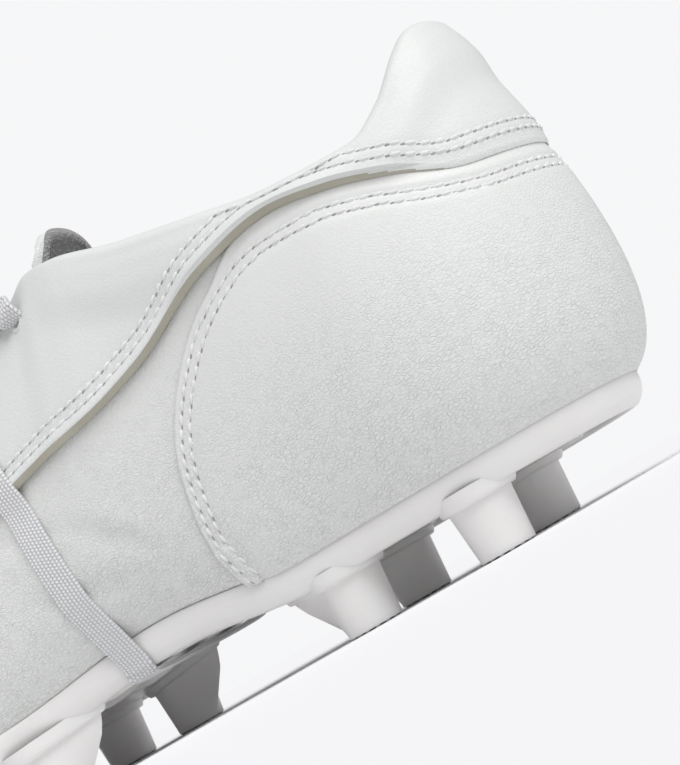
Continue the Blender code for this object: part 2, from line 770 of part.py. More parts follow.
def make_upper(parts):
    vertices = []
    index = {}

    def vertex(side, rib, row):
        on_end = rib in (0, len(INNER_PLACES) - 1)
        on_ridge = row == RIB_ROWS and rib >= COLLAR_RIBS
        key = (1 if on_end or on_ridge else side, rib, row)
        if key not in index:
            place = INNER_PLACES[rib] if key[0] > 0 else OUTER_PLACES[rib]
            index[key] = len(vertices)
            vertices.append(upper_point(place, row / RIB_ROWS))
        return index[key]

    faces = []
    for side in (1, -1):
        for rib in range(len(INNER_PLACES) - 1):
            for row in range(RIB_ROWS):
                corners = [vertex(side, rib, row), vertex(side, rib + 1, row),
                           vertex(side, rib + 1, row + 1), vertex(side, rib, row + 1)]
                faces.append(corners[::-1] if side > 0 else corners)
    upper = mesh_object("upper", vertices, [tuple(face) for face in faces], parts)
    solidify(upper, WALL, -1)
    shade(upper, 50)
    give_material(upper, (0.78, 0.79, 0.77), 0.55)
    return upper


def solidify(obj, thickness, offset):
    modifier = obj.modifiers.new("Wall", "SOLIDIFY")
    modifier.thickness = thickness
    modifier.offset = offset
    modifier.use_even_offset = True
    modifier.use_rim = True


def edge_height(rows, x):
    places = [row.along * LENGTH for row in rows]
    values = [row.rise * ANKLE_HEIGHT for row in rows]
    return sole_top(x) + monotone(places, values, x)


def share_at_edge(place, rows, shift=0.0):
    # Where on its rib the upper's face crosses an edge drawn on its side
    frame = rib_frame(place)
    low, high = 0.0, 1.0
    for _ in range(30):
        middle = (low + high) / 2
        point = on_rib(frame, middle)
        if point.z < edge_height(rows, point.x) + shift:
            low = middle
        else:
            high = middle
    return (low + high) / 2


def overlay(name, places, low_share, high_share, rows, lifted, thickness, parts):
    vertices = []
    for place in places:
        low = low_share(place)
        high = high_share(place)
        for row in range(rows + 1):
            vertices.append(upper_point(place, low + (high - low) * row / rows, lifted))
    faces = []
    for rib in range(len(places) - 1):
        for row in range(rows):
            corner = rib * (rows + 1) + row
            faces.append((corner + 1, corner + rows + 2, corner + rows + 1, corner))
    obj = mesh_object(name, vertices, faces, parts)
    solidify(obj, thickness, 1)
    shade(obj, 50)
    return obj


def overlay_places(last_inner, last_outer, extra_inner=None, extra_outer=None):
    # Ribs from the outer side, round the heel, to the inner side
    places = [place - last_curves.period for place in reversed(OUTER_PLACES[1:last_outer + 1])]
    if extra_outer is not None:
        places.insert(0, extra_outer - last_curves.period)
    places += INNER_PLACES[:last_inner + 1]
    if extra_inner is not None:
        places.append(extra_inner)
    return places


def make_counter(parts):
    front = HEEL_OVERHANG + COUNTER_FRONT * SOLE_LENGTH
    inner = max(rib for rib in range(COLLAR_RIBS) if sole_edge(INNER_PLACES[rib])[0].x < front - 3 * MM)
    outer = max(rib for rib in range(COLLAR_RIBS) if sole_edge(OUTER_PLACES[rib])[0].x < front - 3 * MM)

    def place_at(low, high):
        for _ in range(40):
            middle = (low + high) / 2
            if sole_edge(middle)[0].x < front:
                low = middle
            else:
                high = middle
        return low

    extra_inner = place_at(INNER_PLACES[inner], INNER_PLACES[inner + 2])
    extra_outer = place_at(OUTER_PLACES[outer], OUTER_PLACES[outer + 2])
    places = overlay_places(inner, outer, extra_inner, extra_outer)

    def high_share(place):
        below_band = share_at_edge(place, BAND_EDGE, -2 * OVERLAY_GAP)
        return min(below_band, share_at_edge(place, COUNTER_EDGE))

    counter = overlay("heel_counter", places, lambda place: 0.015, high_share, 6,
                      OVERLAY_GAP, COUNTER_WALL, parts)
    give_material(counter, (0.80, 0.81, 0.79), 0.5)
    return counter


def make_collar_band(parts):
    last = COLLAR_RIBS - 1
    places = overlay_places(last, last)
    band = overlay("collar_band", places, lambda place: share_at_edge(place, BAND_EDGE),
                   lambda place: 1.0, 4, OVERLAY_GAP, BAND_WALL, parts)
    give_material(band, (0.82, 0.82, 0.80), 0.48)
    return band


# Eyelets, tongue and laces

def eyelet_tops():
    step = (EYELETS_END - EYELETS_START) / (EYELET_PAIRS - 1)
    return [(EYELETS_START + step * pair) * LENGTH for pair in range(EYELET_PAIRS)]


def share_from_top(place, distance):
    # Rib share at a distance down the face from the open edge
    frame = rib_frame(place)
    steps = 60
    length = 0.0
    before = on_rib(frame, 1.0)
    for step in range(1, steps + 1):
        share = 1 - 0.6 * step / steps
        point = on_rib(frame, share)
        length += (point - before).length
        before = point
        if length >= distance:
            return share
    return 0.4


def eyelet_spot(side, top):
    place = find_place(side, top)
    return place, share_from_top(place, EYELET_MARGIN)


def make_eyelet_cutters(collection):
    length = 2 * (WALL + BAND_WALL + OVERLAY_GAP) + 4 * MM
    for pair, top in enumerate(eyelet_tops()):
        for side in (1, -1):
            place, share = eyelet_spot(side, top)
            make_cutter(cylinder("eyelet_cutter_%d_%d" % (pair, side), EYELET_WIDTH / 2, length,
                                 upper_point(place, share), upper_normal(place, share),
                                 EYELET_SIDES, collection))


def tongue_section(top):
    # Outer face of the tongue under one pair of ribs: down each flank and over the open throat
    inner = find_place(1, top)
    outer = find_place(-1, top)
    below = -(WALL + TONGUE_GAP)
    points = []
    for distance in (TONGUE_FLANK, TONGUE_FLANK * 0.6, TONGUE_FLANK * 0.25):
        points.append(upper_point(outer, share_from_top(outer, distance), below))
    right = upper_point(outer, 0.995, below)
    left = upper_point(inner, 0.995, below)
    for share in (0.15, 0.5, 0.85):
        point = right.lerp(left, share)
        point.z += TONGUE_CROWN * 4 * share * (1 - share)
        points.append(point)
    for distance in (TONGUE_FLANK * 0.25, TONGUE_FLANK * 0.6, TONGUE_FLANK):
        points.append(upper_point(inner, share_from_top(inner, distance), below))
    return points


def make_tongue(parts):
    tops = [0.627, 0.595, 0.553, 0.510, 0.467, 0.430]
    sections = [tongue_section(top * LENGTH) for top in tops]
    middle = len(sections[0]) // 2
    step = (sections[-1][middle] - sections[-2][middle]).normalized()
    rising = (step + Vector((0, 0, 0.9))).normalized()
    base = sections[-1]
    for rise, narrow in ((0.4, 0.80), (0.75, 0.74), (1.0, 0.62)):
        section = []
        for point in base:
            moved = point + rising * TONGUE_RISE * rise
            moved.y = base[middle].y + (point.y - base[middle].y) * narrow
            moved.z += (base[middle].z - point.z) * 0.5 * rise
            section.append(moved)
        sections.append(section)
    count = len(base)
    vertices = [point for section in sections for point in section]
    faces = []
    for row in range(len(sections) - 1):
        for column in range(count - 1):
            corner = row * count + column
            faces.append((corner + 1, corner + count + 1, corner + count, corner))
    tongue = mesh_object("tongue", vertices, faces, parts)
    solidify(tongue, TONGUE_THICKNESS, -1)
    shade(tongue, 50)
    give_material(tongue, (0.70, 0.70, 0.69), 0.7)
    return tongue


def strip(name, points, normals, collection):
    # Flat band through points, lying square to the normals
    rings = []
    count = len(points)
    for index, point in enumerate(points):
        ahead = points[min(index + 1, count - 1)]
        behind = points[max(index - 1, 0)]
        tangent = (ahead - behind).normalized()
        sideways = tangent.cross(normals[index]).normalized()
        rise = sideways.cross(tangent) * LACE_THICKNESS / 2
        half = sideways * LACE_WIDTH / 2
        rings.append([point - half - rise, point + half - rise, point + half + rise, point - half + rise])
    return loft(name, rings, collection)


def over_throat(side, start_top, end_top, lifted, tucked=False):
    # Points and normals of a lace from an eyelet and over the throat, to an eyelet on the other side,
    # or tucked in under the edge there
    above = OVERLAY_GAP + BAND_WALL + LACE_GAP + LACE_THICKNESS / 2 + lifted
    below = EYELET_MARGIN + LACE_WIDTH * 0.2
    points = []
    normals = []
    stops = [(side, 0.0, below), (side, 0.2, 0.0), (-side, 0.8, 0.0), (-side, 1.0, below)]
    for stop_side, share, margin in stops:
        place = find_place(stop_side, start_top + (end_top - start_top) * share)
        height = share_from_top(place, margin) if margin else 1.0
        points.append(upper_point(place, height, above if margin else above + EDGE_LIFT))
        normals.append(upper_normal(place, height))
    middle = (points[1] + points[2]) / 2
    middle.z += CROSSING_ARCH
    normal = (normals[1] + normals[2]).normalized()
    if tucked:
        edge = points[2] - normals[2] * (above + TUCK_DEPTH)
        inwards = (points[1] - points[2]).normalized()
        points[2:] = [middle, edge + inwards * TUCK_INSIDE]
        normals[2:] = [normal, normal]
    else:
        points.insert(2, middle)
        normals.insert(2, normal)
    return points, normals


def make_lace_crossings(parts, joined):
    tops = eyelet_tops()
    laces = [strip("lace_bar", *over_throat(1, tops[-1], tops[-1], 0.0), parts)]
    for pair in range(EYELET_PAIRS - 1):
        over = over_throat(1, tops[pair], tops[pair + 1], 0.3 * LACE_THICKNESS, tucked=True)
        under = over_throat(-1, tops[pair], tops[pair + 1], 0.0, tucked=True)
        lace = strip("lace_crossing_%d" % (pair + 1), *over, parts)
        add_boolean(lace, "UNION", make_cutter(strip("crossing_%02d" % pair, *under, joined)))
        laces.append(lace)
    for lace in laces:
        shade(lace)
        give_material(lace, (0.80, 0.80, 0.81), 0.75)


def arch_leg(foot_place, top_place, lifted):
    # Down one side of the shoe, over the crossings' ends, to the plate's rim, then in under the rim
    clear = ARCH_LACE_GAP + LACE_THICKNESS / 2
    points = []
    normals = []
    steps = 10
    for step in range(steps + 1):
        share = 1 - step / steps
        place = foot_place + (top_place - foot_place) * share
        band_share = share_at_edge(place, BAND_EDGE)
        over = ramp(share, band_share - 0.11, band_share - 0.06) * (OVERLAY_GAP + BAND_WALL)
        low = share_from_top(place, LACE_LANDING + LACE_WIDTH)
        over += ramp(share, low, share_from_top(place, LACE_LANDING)) * lifted
        over += max(0.0, 1 - share / 0.15) * RIM_CLEARANCE
        points.append(upper_point(place, share, clear + over))
        normals.append(upper_normal(place, share))
    _, outward = sole_edge(foot_place)
    down = Vector((0, 0, -1))
    for inset, level, lean in ((0.0, 0.78, 0.0), (0.06, 0.44, 0.3), (0.22, 0.14, 0.6), (0.5, 0.0, 1.0)):
        point, _ = sole_edge(foot_place, inset * RIM_WIDTH)
        point.z = rim_level(point.x, level)
        normal = (outward * (1 - lean) + down * lean).normalized()
        points.append(point + normal * (clear + GAP))
        normals.append(normal)
    return points, normals


def make_arch_lace(parts):
    # From a top eyelet over the throat, down one side, under the waist, up the other side and back over
    feet = {1: find_place(1, ARCH_TOPS[0] * LENGTH), -1: find_place(-1, ARCH_TOPS[1] * LENGTH)}
    tops = {side: find_place(side, ARCH_TOPS[2] * LENGTH) for side in (1, -1)}
    lowest = 1.4 * LACE_THICKNESS + 2 * LACE_GAP
    legs = {side: arch_leg(feet[side], tops[side], lowest) for side in (1, -1)}
    first = eyelet_tops()[0]
    lower = over_throat(1, first, ARCH_TOPS[2] * LENGTH, lowest)
    upper = over_throat(-1, first, ARCH_TOPS[2] * LENGTH, lowest + LACE_THICKNESS + LACE_GAP)
    under = [legs[-1][0][-1].lerp(legs[1][0][-1], share) for share in (0.33, 0.67)]
    points = lower[0][:4] + legs[-1][0] + under + legs[1][0][::-1] + upper[0][3::-1]
    normals = lower[1][:4] + legs[-1][1] + [Vector((0, 0, -1))] * 2 + legs[1][1][::-1] + upper[1][3::-1]
    lace = strip("arch_lace", points, normals, parts)
    shade(lace)
    give_material(lace, (0.80, 0.80, 0.81), 0.75)


# The shoe stands on its stud tips, with the middle of its box at the origin

def stand_on_origin(parts):
    bpy.context.view_layer.update()
    graph = bpy.context.evaluated_depsgraph_get()
    corners = []
    for obj in parts.objects:
        evaluated = obj.evaluated_get(graph)
        corners += [obj.matrix_world @ Vector(corner) for corner in evaluated.bound_box]
    low = Vector([min(corner[axis] for corner in corners) for axis in range(3)])
    high = Vector([max(corner[axis] for corner in corners) for axis in range(3)])
    shift = Vector((-(low.x + high.x) / 2, -(low.y + high.y) / 2, -low.z))
    for obj in bpy.data.objects:
        obj.location = obj.location + shift


def main():
    clear_scene()
    parts = new_collection("soccer_cleat")
    cutters = new_collection("cutters")
    sole_pieces = new_collection("sole_pieces")
    crossing_pieces = new_collection("crossing_pieces")
    eyelet_pieces = new_collection("eyelet_pieces")
    make_outsole(parts, sole_pieces, cutters)
    make_insole(parts)
    upper = make_upper(parts)
    make_counter(parts)
    band = make_collar_band(parts)
    make_eyelet_cutters(eyelet_pieces)
    add_boolean(upper, "DIFFERENCE", eyelet_pieces)
    add_boolean(band, "DIFFERENCE", eyelet_pieces)
    make_tongue(parts)
    make_lace_crossings(parts, crossing_pieces)
    make_arch_lace(parts)
    stand_on_origin(parts)


main()
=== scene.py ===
import math

import bmesh
import bpy
import numpy as np
from mathutils import Matrix, Vector
from mathutils.bvhtree import BVHTree


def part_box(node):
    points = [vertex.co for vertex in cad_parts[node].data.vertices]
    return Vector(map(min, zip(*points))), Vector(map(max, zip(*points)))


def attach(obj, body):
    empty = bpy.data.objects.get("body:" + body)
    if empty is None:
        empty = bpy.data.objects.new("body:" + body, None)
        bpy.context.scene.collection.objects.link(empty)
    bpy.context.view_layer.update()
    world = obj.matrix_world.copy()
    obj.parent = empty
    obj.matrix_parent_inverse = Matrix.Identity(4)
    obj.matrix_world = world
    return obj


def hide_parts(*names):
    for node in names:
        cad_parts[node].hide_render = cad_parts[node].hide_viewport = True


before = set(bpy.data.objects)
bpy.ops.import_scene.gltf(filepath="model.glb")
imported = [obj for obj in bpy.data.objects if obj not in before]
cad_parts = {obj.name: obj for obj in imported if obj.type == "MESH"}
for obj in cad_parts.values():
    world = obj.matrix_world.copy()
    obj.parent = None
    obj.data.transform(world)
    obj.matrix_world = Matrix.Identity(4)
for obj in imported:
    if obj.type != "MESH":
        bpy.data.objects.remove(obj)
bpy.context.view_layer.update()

# A soccer cleat for the right foot. All shapes are worked out in the shoe's own millimetres:
# x from the heel to the toe, y towards the inner side, z up from the floor under the studs.
shoe = {
    "length": 285.0,
    "soleLength": 270.0,
    "heelOverhang": 11.0,
    "heelWidth": 60.0,
    "waistWidth": 48.0,
    "ballWidth": 88.0,
    "collarWidth": 54.0,
    "throatWidth": 25.0,
    "tabHeight": 80.7,
    "ankleHeight": 64.0,
    "instepHeight": 81.8,
    "toeHeight": 27.0,
    "wall": 2.0,
    "featherInset": 0.6,
    "gap": 0.3,
}
rivetLow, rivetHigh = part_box("heel_rivet")
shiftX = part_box("outsole")[0].x * 1000 - shoe["heelOverhang"]
shiftY = (rivetLow.y + rivetHigh.y) * 500
print("frame loaded, shoe starts at", round(shiftX, 2), round(shiftY, 2))

# name, width, along, across, top, lowOut, lowUp, highOut, highDown
lastSections = [
    ("heel back", "heelWidth", 0.000, 0.000, 0.0330, 0.550, 0.096, 0.300, 0.36),
    ("heel corner, inner", "heelWidth", 0.017, 0.483, 0.0428, 0.480, 0.100, 0.290, 0.34),
    ("heel side, inner", "heelWidth", 0.100, 0.920, 0.116, 0.400, 0.127, 0.280, 0.35),
    ("seat, inner", "heelWidth", 0.204, 0.927, 0.214, 0.310, 0.120, 0.200, 0.36),
    ("arch back, inner", "waistWidth", 0.330, 1.042, 0.323, 0.440, 0.120, 0.230, 0.36),
    ("waist, inner", "waistWidth", 0.433, 0.917, 0.3965, 0.667, 0.150, 0.583, 0.28),
    ("arch front, inner", "ballWidth", 0.533, 0.648, 0.467, 0.273, 0.170, 0.455, 0.24),
    ("ball back, inner", "ballWidth", 0.633, 0.852, 0.554, 0.136, 0.210, 0.545, 0.18),
    ("ball, inner", "ballWidth", 0.737, 0.915, 0.656, 0.114, 0.260, 0.590, 0.03),
    ("big toe", "ballWidth", 0.844, 0.822, 0.765, 0.114, 0.290, 0.520, 0.00),
    ("toe corner, inner", "ballWidth", 0.937, 0.580, 0.860, 0.120, 0.320, 0.400, 0.00),
    ("toe front, inner", "ballWidth", 0.986, 0.270, 0.915, 0.120, 0.350, 0.330, 0.00),
    ("toe tip", "ballWidth", 1.000, -0.040, 0.933, 0.120, 0.370, 0.300, 0.00),
    ("toe front, outer", "ballWidth", 0.982, -0.360, 0.913, 0.120, 0.350, 0.330, 0.00),
    ("toe corner, outer", "ballWidth", 0.930, -0.660, 0.860, 0.120, 0.310, 0.440, 0.00),
    ("small toe", "ballWidth", 0.848, -0.890, 0.780, 0.100, 0.280, 0.540, 0.00),
    ("ball front, outer", "ballWidth", 0.755, -1.040, 0.692, 0.080, 0.260, 0.610, 0.02),
    ("ball, outer", "ballWidth", 0.648, -1.105, 0.6105, 0.070, 0.210, 0.636, 0.12),
    ("ball back, outer", "ballWidth", 0.544, -0.985, 0.523, 0.080, 0.180, 0.568, 0.20),
    ("arch front, outer", "ballWidth", 0.459, -0.752, 0.449, 0.180, 0.160, 0.430, 0.25),
    ("waist, outer", "waistWidth", 0.374, -1.112, 0.372, 0.360, 0.120, 0.400, 0.33),
    ("seat, outer", "heelWidth", 0.256, -1.015, 0.267, 0.210, 0.120, 0.180, 0.36),
    ("heel side, outer", "heelWidth", 0.137, -1.095, 0.158, 0.200, 0.120, 0.150, 0.36),
    ("heel quarter, outer", "heelWidth", 0.056, -0.950, 0.0772, 0.270, 0.120, 0.180, 0.35),
    ("heel corner, outer", "heelWidth", 0.011, -0.495, 0.0386, 0.430, 0.100, 0.260, 0.35),
]

# along, half, width, rise, height, middle
topline = [
    (0.0330, 0.00, "collarWidth", 1.000, "tabHeight", 0.000),
    (0.0368, 0.23, "collarWidth", 0.999, "tabHeight", 0.000),
    (0.0439, 0.39, "collarWidth", 0.990, "tabHeight", 0.000),
    (0.0561, 0.545, "collarWidth", 0.948, "tabHeight", 0.000),
    (0.0807, 0.745, "collarWidth", 1.070, "ankleHeight", 0.000),
    (0.1088, 0.890, "collarWidth", 1.000, "ankleHeight", 0.000),
    (0.1684, 1.000, "collarWidth", 1.019, "ankleHeight", 0.000),
    (0.2316, 1.000, "collarWidth", 1.089, "ankleHeight", 0.000),
    (0.3018, 0.944, "collarWidth", 0.923, "instepHeight", 0.000),
    (0.3614, 0.833, "collarWidth", 0.984, "instepHeight", -0.002),
    (0.3930, 0.704, "collarWidth", 1.000, "instepHeight", -0.004),
    (0.4246, 1.240, "throatWidth", 0.966, "instepHeight", -0.006),
    (0.4912, 1.000, "throatWidth", 0.880, "instepHeight", -0.010),
    (0.5614, 0.840, "throatWidth", 0.803, "instepHeight", -0.012),
    (0.6246, 0.680, "throatWidth", 0.715, "instepHeight", -0.012),
    (0.6474, 0.440, "throatWidth", 0.682, "instepHeight", -0.012),
    (0.6544, 0.000, "throatWidth", 0.673, "instepHeight", -0.012),
    (0.7018, 0.000, "throatWidth", 0.613, "instepHeight", -0.010),
    (0.7719, 0.000, "throatWidth", 0.534, "instepHeight", -0.004),
    (0.8421, 0.000, "throatWidth", 0.467, "instepHeight", 0.000),
    (0.8947, 0.000, "throatWidth", 1.230, "toeHeight", 0.000),
    (0.9333, 0.000, "throatWidth", 1.000, "toeHeight", -0.002),
]
throatEnd = 0.6544
leanStart = 0.36

# Lower edge of the collar band: along the shoe's length, and rise of the ankle's height above the sole
bandEdge = [(0.000, 0.760), (0.044, 0.775), (0.091, 0.865), (0.137, 0.940), (0.189, 0.985), (0.249, 0.945),
            (0.330, 0.800), (0.400, 0.690), (0.500, 0.610), (0.600, 0.570), (0.650, 0.600), (0.690, 0.720)]

soleLevels = {
    "studHeight": 13.0,
    "rimHeight": 7.3,
    "rimWidth": 9.0,
    "floorLevel": 0.16,
    "archRise": 4.0,
    "archCentre": 0.43,
    "archHalf": 0.16,
    "toeSpring": 14.0,
    "springStart": 0.83,
}


# Curves through the tables

def closedBends(steps, values):
    count = len(values)
    matrix = np.zeros((count, count))
    right = np.zeros(count)
    for row in range(count):
        before, after, following = steps[row - 1], steps[row], (row + 1) % count
        matrix[row, row - 1] += before
        matrix[row, row] += 2 * (before + after)
        matrix[row, following] += after
        slopeBefore = (values[row] - values[row - 1]) / before
        slopeAfter = (values[following] - values[row]) / after
        right[row] = 6 * (slopeAfter - slopeBefore)
    return np.linalg.solve(matrix, right)


sectionWidth = np.array([shoe[row[1]] / 2 for row in lastSections])
sectionX = shoe["heelOverhang"] + np.array([row[2] for row in lastSections]) * shoe["soleLength"]
sectionY = np.array([row[3] for row in lastSections]) * sectionWidth
lastSteps = np.hypot(np.roll(sectionX, -1) - sectionX, np.roll(sectionY, -1) - sectionY)
lastKnots = np.concatenate([[0.0], np.cumsum(lastSteps)])
lastPeriod = lastKnots[-1]
lastColumns = {
    "x": sectionX,
    "y": sectionY,
    "top": np.array([row[4] for row in lastSections]) * shoe["length"],
    "lowOut": np.array([row[5] for row in lastSections]) * sectionWidth,
    "lowUp": np.array([row[6] for row in lastSections]),
    "highOut": np.array([row[7] for row in lastSections]) * sectionWidth,
    "highDown": np.array([row[8] for row in lastSections]),
}
lastBends = {name: closedBends(lastSteps, values) for name, values in lastColumns.items()}
toePlace = lastKnots[[row[0] for row in lastSections].index("toe tip")]


def lastValue(name, place):
    place = np.mod(np.asarray(place, float), lastPeriod)
    row = np.clip(np.searchsorted(lastKnots, place, side="right") - 1, 0, len(lastSections) - 1)
    following = (row + 1) % len(lastSections)
    step = lastSteps[row]
    share = (place - lastKnots[row]) / step
    rest = 1 - share
    values, bends = lastColumns[name], lastBends[name]
    curve = (rest ** 3 - rest) * bends[row] + (share ** 3 - share) * bends[following]
    return rest * values[row] + share * values[following] + curve * step ** 2 / 6


def smoothThrough(places, values, x):
    # Cubic through table rows that never overshoots a row
    places, values = np.asarray(places, float), np.asarray(values, float)
    slopes = np.diff(values) / np.diff(places)
    product, both = slopes[:-1] * slopes[1:], slopes[:-1] + slopes[1:]
    inner = np.where(product > 0, 2 * product / np.where(both == 0, 1, both), 0)
    tangents = np.concatenate([slopes[:1], inner, slopes[-1:]])
    x = np.clip(x, places[0], places[-1])
    row = np.clip(np.searchsorted(places, x, side="right") - 1, 0, len(places) - 2)
    step = places[row + 1] - places[row]
    share = (x - places[row]) / step
    rest = 1 - share
    level = (1 + 2 * share) * rest ** 2 * values[row] + share ** 2 * (3 - 2 * share) * values[row + 1]
    bend = share * rest ** 2 * tangents[row] - share ** 2 * rest * tangents[row + 1]
    return level + step * bend


def lengthsAlong(points):
    # Running length over each row of points
    steps = np.linalg.norm(np.diff(points, axis=-2), axis=-1)
    return np.concatenate([np.zeros((*steps.shape[:-1], 1)), np.cumsum(steps, axis=-1)], axis=-1)


def pointsAt(points, places, at):
    # Points of a path, which has the given places, at other places
    return np.stack([np.interp(at, places, points[:, column]) for column in range(points.shape[1])], -1)


def smoothPath(points, step):
    # Rounded path through points, at even steps; columns after the third are carried along
    points = np.asarray(points, float)
    padded = np.vstack([2 * points[0] - points[1], points, 2 * points[-1] - points[-2]])
    made = []
    for row in range(1, len(padded) - 2):
        share = np.linspace(0, 1, 24, endpoint=False)[:, None]
        p0, p1, p2, p3 = padded[row - 1], padded[row], padded[row + 1], padded[row + 2]
        made.append(0.5 * (2 * p1 + (p2 - p0) * share + (2 * p0 - 5 * p1 + 4 * p2 - p3) * share ** 2
                           + (3 * p1 - p0 - 3 * p2 + p3) * share ** 3))
    made = np.vstack(made + [points[-1:]])
    size = 3 if points.shape[1] >= 3 else 2
    lengths = lengthsAlong(made[:, :size])
    even = np.linspace(0, lengths[-1], max(2, int(lengths[-1] / step) + 1))
    return pointsAt(made, lengths, even)


def ramp(value, start, end):
    share = np.clip((np.asarray(value, float) - start) / (end - start), 0, 1)
    return share * share * (3 - 2 * share)


def turns(count):
    return np.linspace(0, 2 * math.pi, count, endpoint=False)


def sheetBetween(first, second, count):
    # Straight lines from one edge to the other
    share = np.linspace(0, 1, count)[None, :, None]
    return first[:, None, :] * (1 - share) + second[:, None, :] * share


def unit(vectors):
    return vectors / np.maximum(np.linalg.norm(vectors, axis=-1, keepdims=True), 1e-9)


def soleLift(x):
    share = (np.asarray(x, float) - shoe["heelOverhang"]) / shoe["soleLength"]
    place = (share - soleLevels["archCentre"]) / soleLevels["archHalf"]
    arch = np.where(np.abs(place) < 1, 0.5 * (1 + np.cos(np.pi * place)), 0)
    spring = np.maximum(0, (share - soleLevels["springStart"]) / (1 - soleLevels["springStart"]))
    return soleLevels["archRise"] * arch + soleLevels["toeSpring"] * spring ** 2


def rimLevel(x, level):
    return soleLevels["studHeight"] + soleLift(x) + soleLevels["rimHeight"] * level


def soleTop(x):
    return rimLevel(x, 1.0)


def soleFloor(x):
    return rimLevel(x, soleLevels["floorLevel"])


def soleEdge(place, inset=0.0):
    place = np.asarray(place, float)
    alongX = lastValue("x", place + 0.5) - lastValue("x", place - 0.5)
    alongY = lastValue("y", place + 0.5) - lastValue("y", place - 0.5)
    outward = unit(np.stack([-alongY, alongX, 0 * alongX], -1))
    edge = np.stack([lastValue("x", place), lastValue("y", place), 0 * alongX], -1)
    return edge - outward * np.asarray(inset, float)[..., None], outward


def topValue(column, x):
    places = [row[0] * shoe["length"] for row in topline]
    if column == "half":
        values = [row[1] * shoe[row[2]] / 2 for row in topline]
    elif column == "rise":
        values = [row[3] * shoe[row[4]] for row in topline]
    else:
        values = [row[5] * shoe["ballWidth"] for row in topline]
    return smoothThrough(places, values, x)


def topPoint(x, side):
    y = topValue("middle", x) + side * topValue("half", x)
    return np.stack([x, y, soleTop(x) + topValue("rise", x)], -1)


def findPlace(side, tops):
    tops = np.atleast_1d(np.asarray(tops, float))
    low = np.full(tops.shape, 0.0 if side > 0 else lastPeriod)
    high = np.full(tops.shape, toePlace)
    for _ in range(48):
        middle = (low + high) / 2
        below = lastValue("top", middle) < tops
        low = np.where(below, middle, low)
        high = np.where(below, high, middle)
    return (low + high) / 2


def facingPlaces(inner):
    # Places of the outer side that face places of the inner side, from the heel's back to the toe's tip
    outer = findPlace(-1, lastValue("top", inner))
    outer[0], outer[-1] = lastPeriod, toePlace
    return outer


def ribTop(place):
    # Upper end of a rib; across the heel tab and at the toe the ends close smoothly
    side = np.where(place <= toePlace, 1.0, -1.0)
    topX = np.minimum(lastValue("top", place), toeCap * shoe["length"])
    top = topPoint(topX, side)
    signed = np.where(place > lastPeriod / 2, place - lastPeriod, place)
    share = signed / tabReach
    arch = (share ** 2)[..., None]
    end = np.where((signed < 0)[..., None], tabOuter, tabInner)
    flat = tabMiddle * (1 - arch) + end * arch
    flat[..., 1] = end[..., 1] * np.abs(share)
    return np.where((np.abs(share) < 1)[..., None], flat, top), topX


toeCap = 0.90
tabReach = 11.0
tabMiddle = topPoint(np.array(lastColumns["top"][0]), 1.0)
tabInner = topPoint(lastValue("top", tabReach), 1.0)
tabOuter = topPoint(lastValue("top", -tabReach), -1.0)


def ribFrame(place):
    place = np.mod(np.asarray(place, float), lastPeriod)
    side = np.where(place <= toePlace, 1.0, -1.0)
    foot, outward = soleEdge(place, shoe["featherInset"])
    foot[..., 2] = soleTop(foot[..., 0]) + shoe["gap"]
    top, topX = ribTop(place)
    height = top[..., 2] - foot[..., 2]
    reach = foot - top
    reach[..., 2] = 0
    reach = unit(reach)
    ridge = unit(topPoint(topX + 1, 0) - topPoint(topX - 1, 0))
    overRidge = ridge * reach[..., :1]
    overRidge[..., 1] += reach[..., 1]
    blend = ramp(topX, leanStart * shoe["length"], throatEnd * shoe["length"])[..., None]
    topOutward = unit(outward * (1 - blend) + overRidge * blend)
    low = foot + outward * lastValue("lowOut", place)[..., None]
    low[..., 2] += height * lastValue("lowUp", place)
    high = top + topOutward * lastValue("highOut", place)[..., None]
    high[..., 2] -= height * lastValue("highDown", place)
    return foot, low, high, top


def onRib(rib, share):
    share = np.asarray(share, float)[..., None]
    rest = 1 - share
    return (rib[0] * rest ** 3 + rib[1] * 3 * rest ** 2 * share
            + rib[2] * 3 * rest * share ** 2 + rib[3] * share ** 3)


def ribLine(place, count):
    # Points down each rib from the open edge, with their shares and lengths
    shares = np.linspace(1, 0, count)
    rib = [part[:, None, :] for part in ribFrame(place)]
    points = onRib(rib, np.broadcast_to(shares, (len(place), count)))
    return shares, points, lengthsAlong(points)


def upperFace(place, share):
    # Points of the upper's outer face with their outward directions
    place, share = np.broadcast_arrays(np.asarray(place, float), np.asarray(share, float))
    rib = ribFrame(place)
    point = onRib(rib, share)
    lower = np.where(share > 0.98, share - 0.02, share)
    upward = onRib(rib, lower + 0.02) - onRib(rib, lower)
    around = onRib(ribFrame(place + 1), share) - onRib(ribFrame(place - 1), share)
    return point, unit(np.cross(upward, around))


def shareDown(place, distance):
    # Rib shares at distances down the face from the open edge
    place = np.atleast_1d(place)
    shares, _, lengths = ribLine(place, 161)
    distance = np.asarray(distance, float)
    if distance.ndim < 2:
        distance = np.broadcast_to(np.atleast_1d(distance)[None, :], (len(place), distance.size))
    return np.stack([np.interp(distance[row], lengths[row], shares) for row in range(len(place))])


